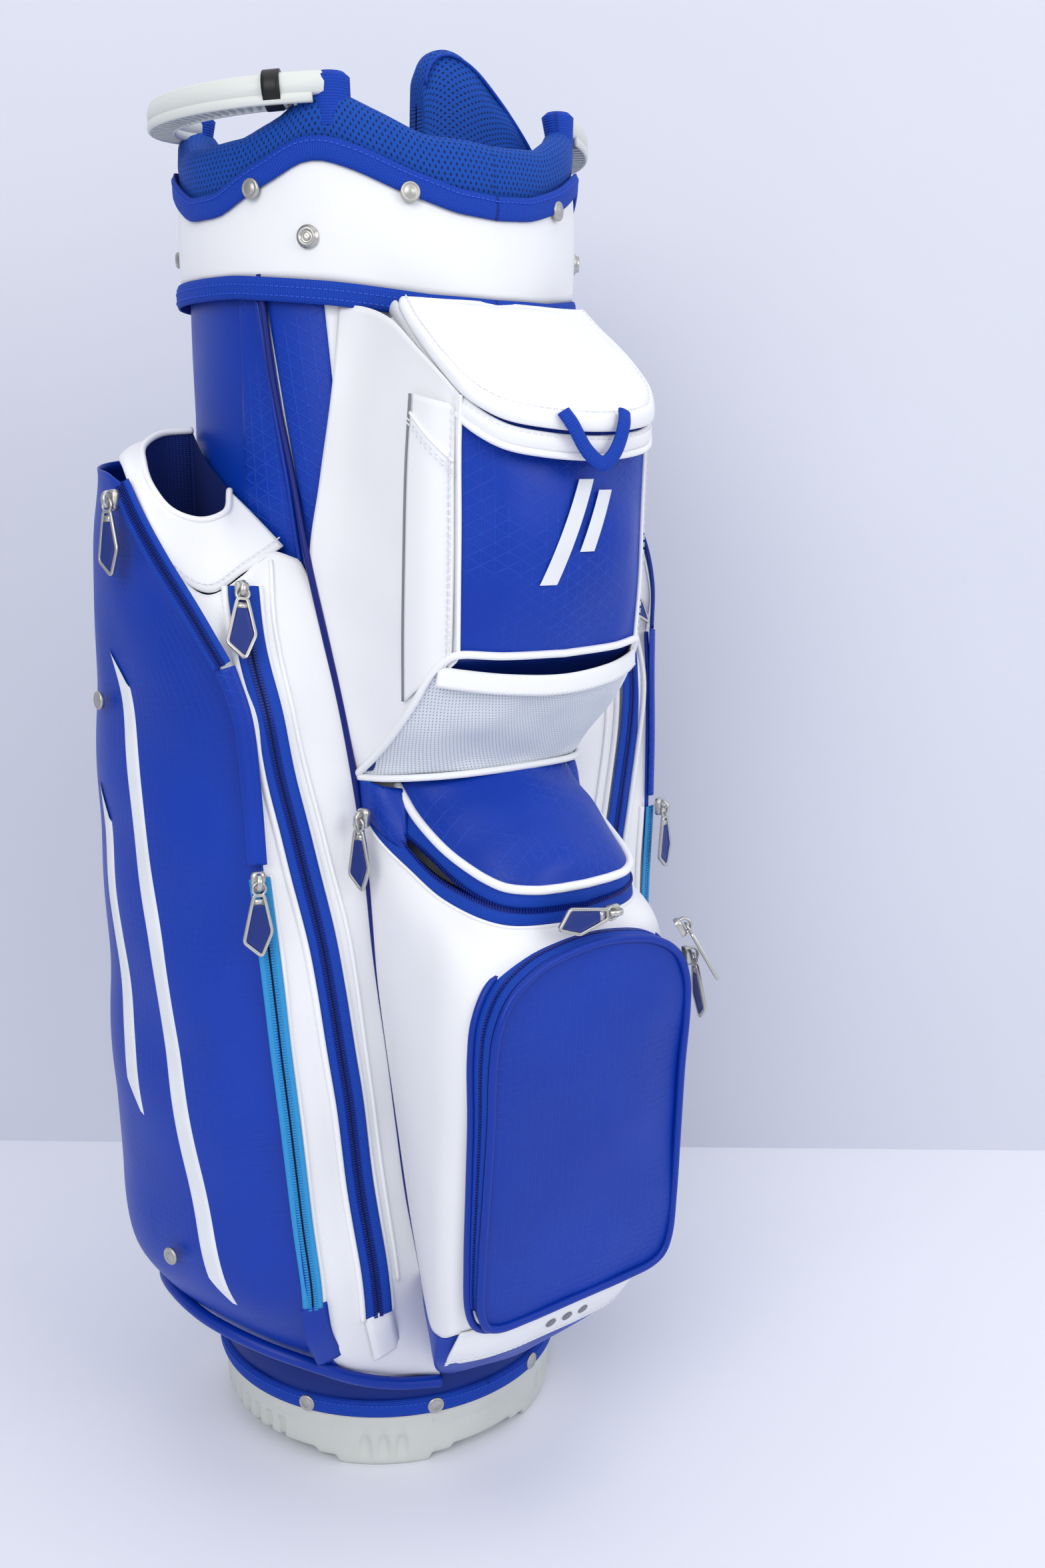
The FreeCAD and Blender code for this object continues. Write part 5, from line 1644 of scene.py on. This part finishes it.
def cap_pieces():
    parts = ring_of_caps((-67.5, -25, 25, 67.5, 155, 205), 126.4, lambda a: wavy(COLLAR_TOP, a) - 1.5,
                         CAP_RINGS)
    bits("collar_caps", parts, "bag", "cap", "metal_cap", ["collar_rivets"], smooth=True)
    parts = ring_of_caps((-60, -19, 20, 61, 119, 160, 200, 241), 123.0, lambda a: 46, CAP_RINGS)
    bits("base_caps", parts, "bag", "cap", "metal_cap", ["base_rivets"], smooth=True)
    parts = ring_of_caps((-51.5, 51.5, 128, 232), 124.9, lambda a: 786, STUD_RINGS)
    bits("hood_stud_sockets", parts, "bag", "metal", "stud_metal", ["hood_studs"], smooth=True)
    parts = []
    for side in SIDES:
        parts.append(disc_data(P(side * 189.5, -40, 173), P(side, -0.25, 0), CAP_RINGS))
        parts.append(disc_data(P(side * 195.2, 14, 520), P(side, 0, 0), CAP_RINGS))
    bits("pocket_eyelets", parts, "bag", "cap", "metal_cap", ["side_eyelets"], smooth=True)
    ends = []
    for azimuth in (-36, 8, 31):
        start = around(azimuth, 126.5, wavy(COLLAR_LOW, azimuth) - 12)
        path = np.array([start, start + P(0.6, -0.8, -2.2), start + P(1.4, -0.6, -4.0)])
        ends.append(sweep_data(path, P(1, 0, 0), round_section(0.45, 1, 6))[:2])
    bits("thread_ends", ends, "bag", "black", "webbing")


SPINE_TURNS = (148, 212)
SPINE_HEIGHTS = (110, 716)
QUILT_PITCH = 151.5


def spine_lift(azimuth, z):
    # How far the spine stands out: none at its edge, less in the grooves between the fields.
    low, high = SPINE_TURNS
    foot, top = SPINE_HEIGHTS
    edge = min((azimuth - low) / 6.0, (high - azimuth) / 6.0, (z - foot) / 16.0, (top - z) / 16.0, 1.0)
    past = (z - foot) % QUILT_PITCH
    quilt = min(min(past, QUILT_PITCH - past) / 9.0, 1.0)
    return 8.0 * math.sin(max(edge, 0) * math.pi / 2) * (0.55 + 0.45 * math.sin(quilt * math.pi / 2))


def back_pieces():
    # The padded spine: four quilted fields between grooves, and a piping round it.
    turns = np.linspace(*SPINE_TURNS, 60)
    rows = [[around(a, 118.6 + spine_lift(a, z), z) for a in turns] for z in np.linspace(*SPINE_HEIGHTS, 150)]
    grid = rumple(np.array(rows), 1.0, 40.0, 90.0)
    spine = show("back_spine_pad", grid, "bag", "ripstop", "blue_fabric", ["back_panel"], depth=0.0)
    radius = 119.4
    outline = [around(a, radius, 112) for a in np.linspace(150, 210, 30)]
    outline += [around(210.5, radius, z) for z in np.linspace(120, 706, 60)]
    outline += [around(a, radius, 714) for a in np.linspace(210, 150, 30)]
    outline += [around(149.5, radius, z) for z in np.linspace(706, 120, 60)]
    edge = spline(outline, 260, closed=True)
    run("back_spine_piping", edge, outward_of(edge), round_section(2.2), "bag", "piping", "blue_fabric",
        closed=True)


# ---------------------------------------------------------------- stage, light and camera

def stage_pieces():
    # A pale floor that meets a pale wall close behind the bag.
    away = math.radians(33.27 + 5.32)
    ahead = P(math.sin(away), math.cos(away), 0)
    across = P(ahead[1], -ahead[0], 0)
    near, far, tall, wide = -1.9, 0.368, 3.2, 3.2  # metres
    verts = [ahead * y + across * x + P(0, 0, z)
             for x in (-wide, wide) for y, z in ((near, 0), (far, 0), (far, tall))]
    floor = bpy.data.meshes.new("floor")
    floor.from_pydata([tuple(v) for v in verts], [], [(0, 3, 4, 1)])
    wall = bpy.data.meshes.new("wall")
    wall.from_pydata([tuple(v) for v in verts], [], [(1, 4, 5, 2)])
    for data, tone in ((floor, rgb(0.86, 0.88, 0.95)), (wall, rgb(0.69, 0.715, 0.80))):
        obj = bpy.data.objects.new(data.name, data)
        bpy.context.scene.collection.objects.link(obj)
        n = Nodes(data.name + "_paper")
        n.color(n.mix(n.smooth(n.noise(1.2), 0.3, 0.7), tone, tuple(c * 0.96 for c in tone[:3]) + (1.0,)))
        n.rough(0.55 if data.name == "floor" else 0.8)
        data.materials.append(n.material)


def lamp(name, place, target, size, power, tone):
    light = bpy.data.lights.new(name, "AREA")
    light.shape = "RECTANGLE"
    light.size, light.size_y = size
    light.energy = power
    light.color = tone
    obj = bpy.data.objects.new(name, light)
    bpy.context.scene.collection.objects.link(obj)
    obj.location = place
    obj.rotation_mode = "QUATERNION"
    obj.rotation_quaternion = (Vector(target) - Vector(place)).to_track_quat("-Z", "Y")


def lights():
    lamp("window_left", (-1.9, -1.3, 1.7), (0, -0.05, 0.45), (1.4, 1.6), 29, (1.0, 0.985, 0.96))
    lamp("front_soft", (0.5, -2.3, 1.5), (0, 0, 0.5), (1.6, 1.2), 18, (1.0, 0.985, 0.96))
    lamp("right_soft", (1.9, -0.7, 1.3), (0, 0, 0.5), (1.2, 1.4), 9, (0.97, 0.98, 1.0))
    lamp("overhead", (0.0, -0.2, 2.4), (0, 0, 0.3), (2.0, 2.0), 14, (1.0, 0.99, 0.97))
    world = bpy.data.worlds.new("room")
    world.use_nodes = True
    world.node_tree.nodes["Background"].inputs["Color"].default_value = rgb(0.90, 0.93, 1.0)
    world.node_tree.nodes["Background"].inputs["Strength"].default_value = 0.48
    bpy.context.scene.world = world


def camera():
    azimuth, yaw, pitch, roll = (math.radians(a) for a in (33.27, 5.32, 12.49, 0.55))
    back = P(-math.sin(azimuth), -math.cos(azimuth), 0)
    right = P(math.cos(azimuth), -math.sin(azimuth), 0)
    level = -back * math.cos(yaw) + right * math.sin(yaw)
    look = level * math.cos(pitch) - P(0, 0, math.sin(pitch))
    across = unit(np.cross(look, P(0, 0, 1)))
    upward = np.cross(across, look)
    turned = across * math.cos(roll) + upward * math.sin(roll)
    upward = upward * math.cos(roll) - across * math.sin(roll)
    place = P(-0.5640, -0.8596, 0.6729)
    data = bpy.data.cameras.new("camera")
    data.lens, data.sensor_width = 35.08, 36.0
    obj = bpy.data.objects.new("camera", data)
    bpy.context.scene.collection.objects.link(obj)
    matrix = Matrix.Identity(4)
    for column, axis in enumerate((turned, upward, -look, place)):
        for line in range(3):
            matrix[line][column] = axis[line]
    obj.matrix_world = matrix
    bpy.context.scene.camera = obj


base_piece()
skirt_pieces()
barrel_pieces()
collar_pieces()
mouth_pieces()
handle_pieces()
front_block_pieces()
pen_pieces()
flap_pieces()
mesh_pocket_pieces()
front_mark()
lower_body_pieces()
mid_zip_pieces()
door_pieces()
side_pocket_pieces()
furniture_pieces()
cap_pieces()
back_pieces()

stage_pieces()
lights()
camera()
bpy.context.scene.view_settings.view_transform = "Standard"
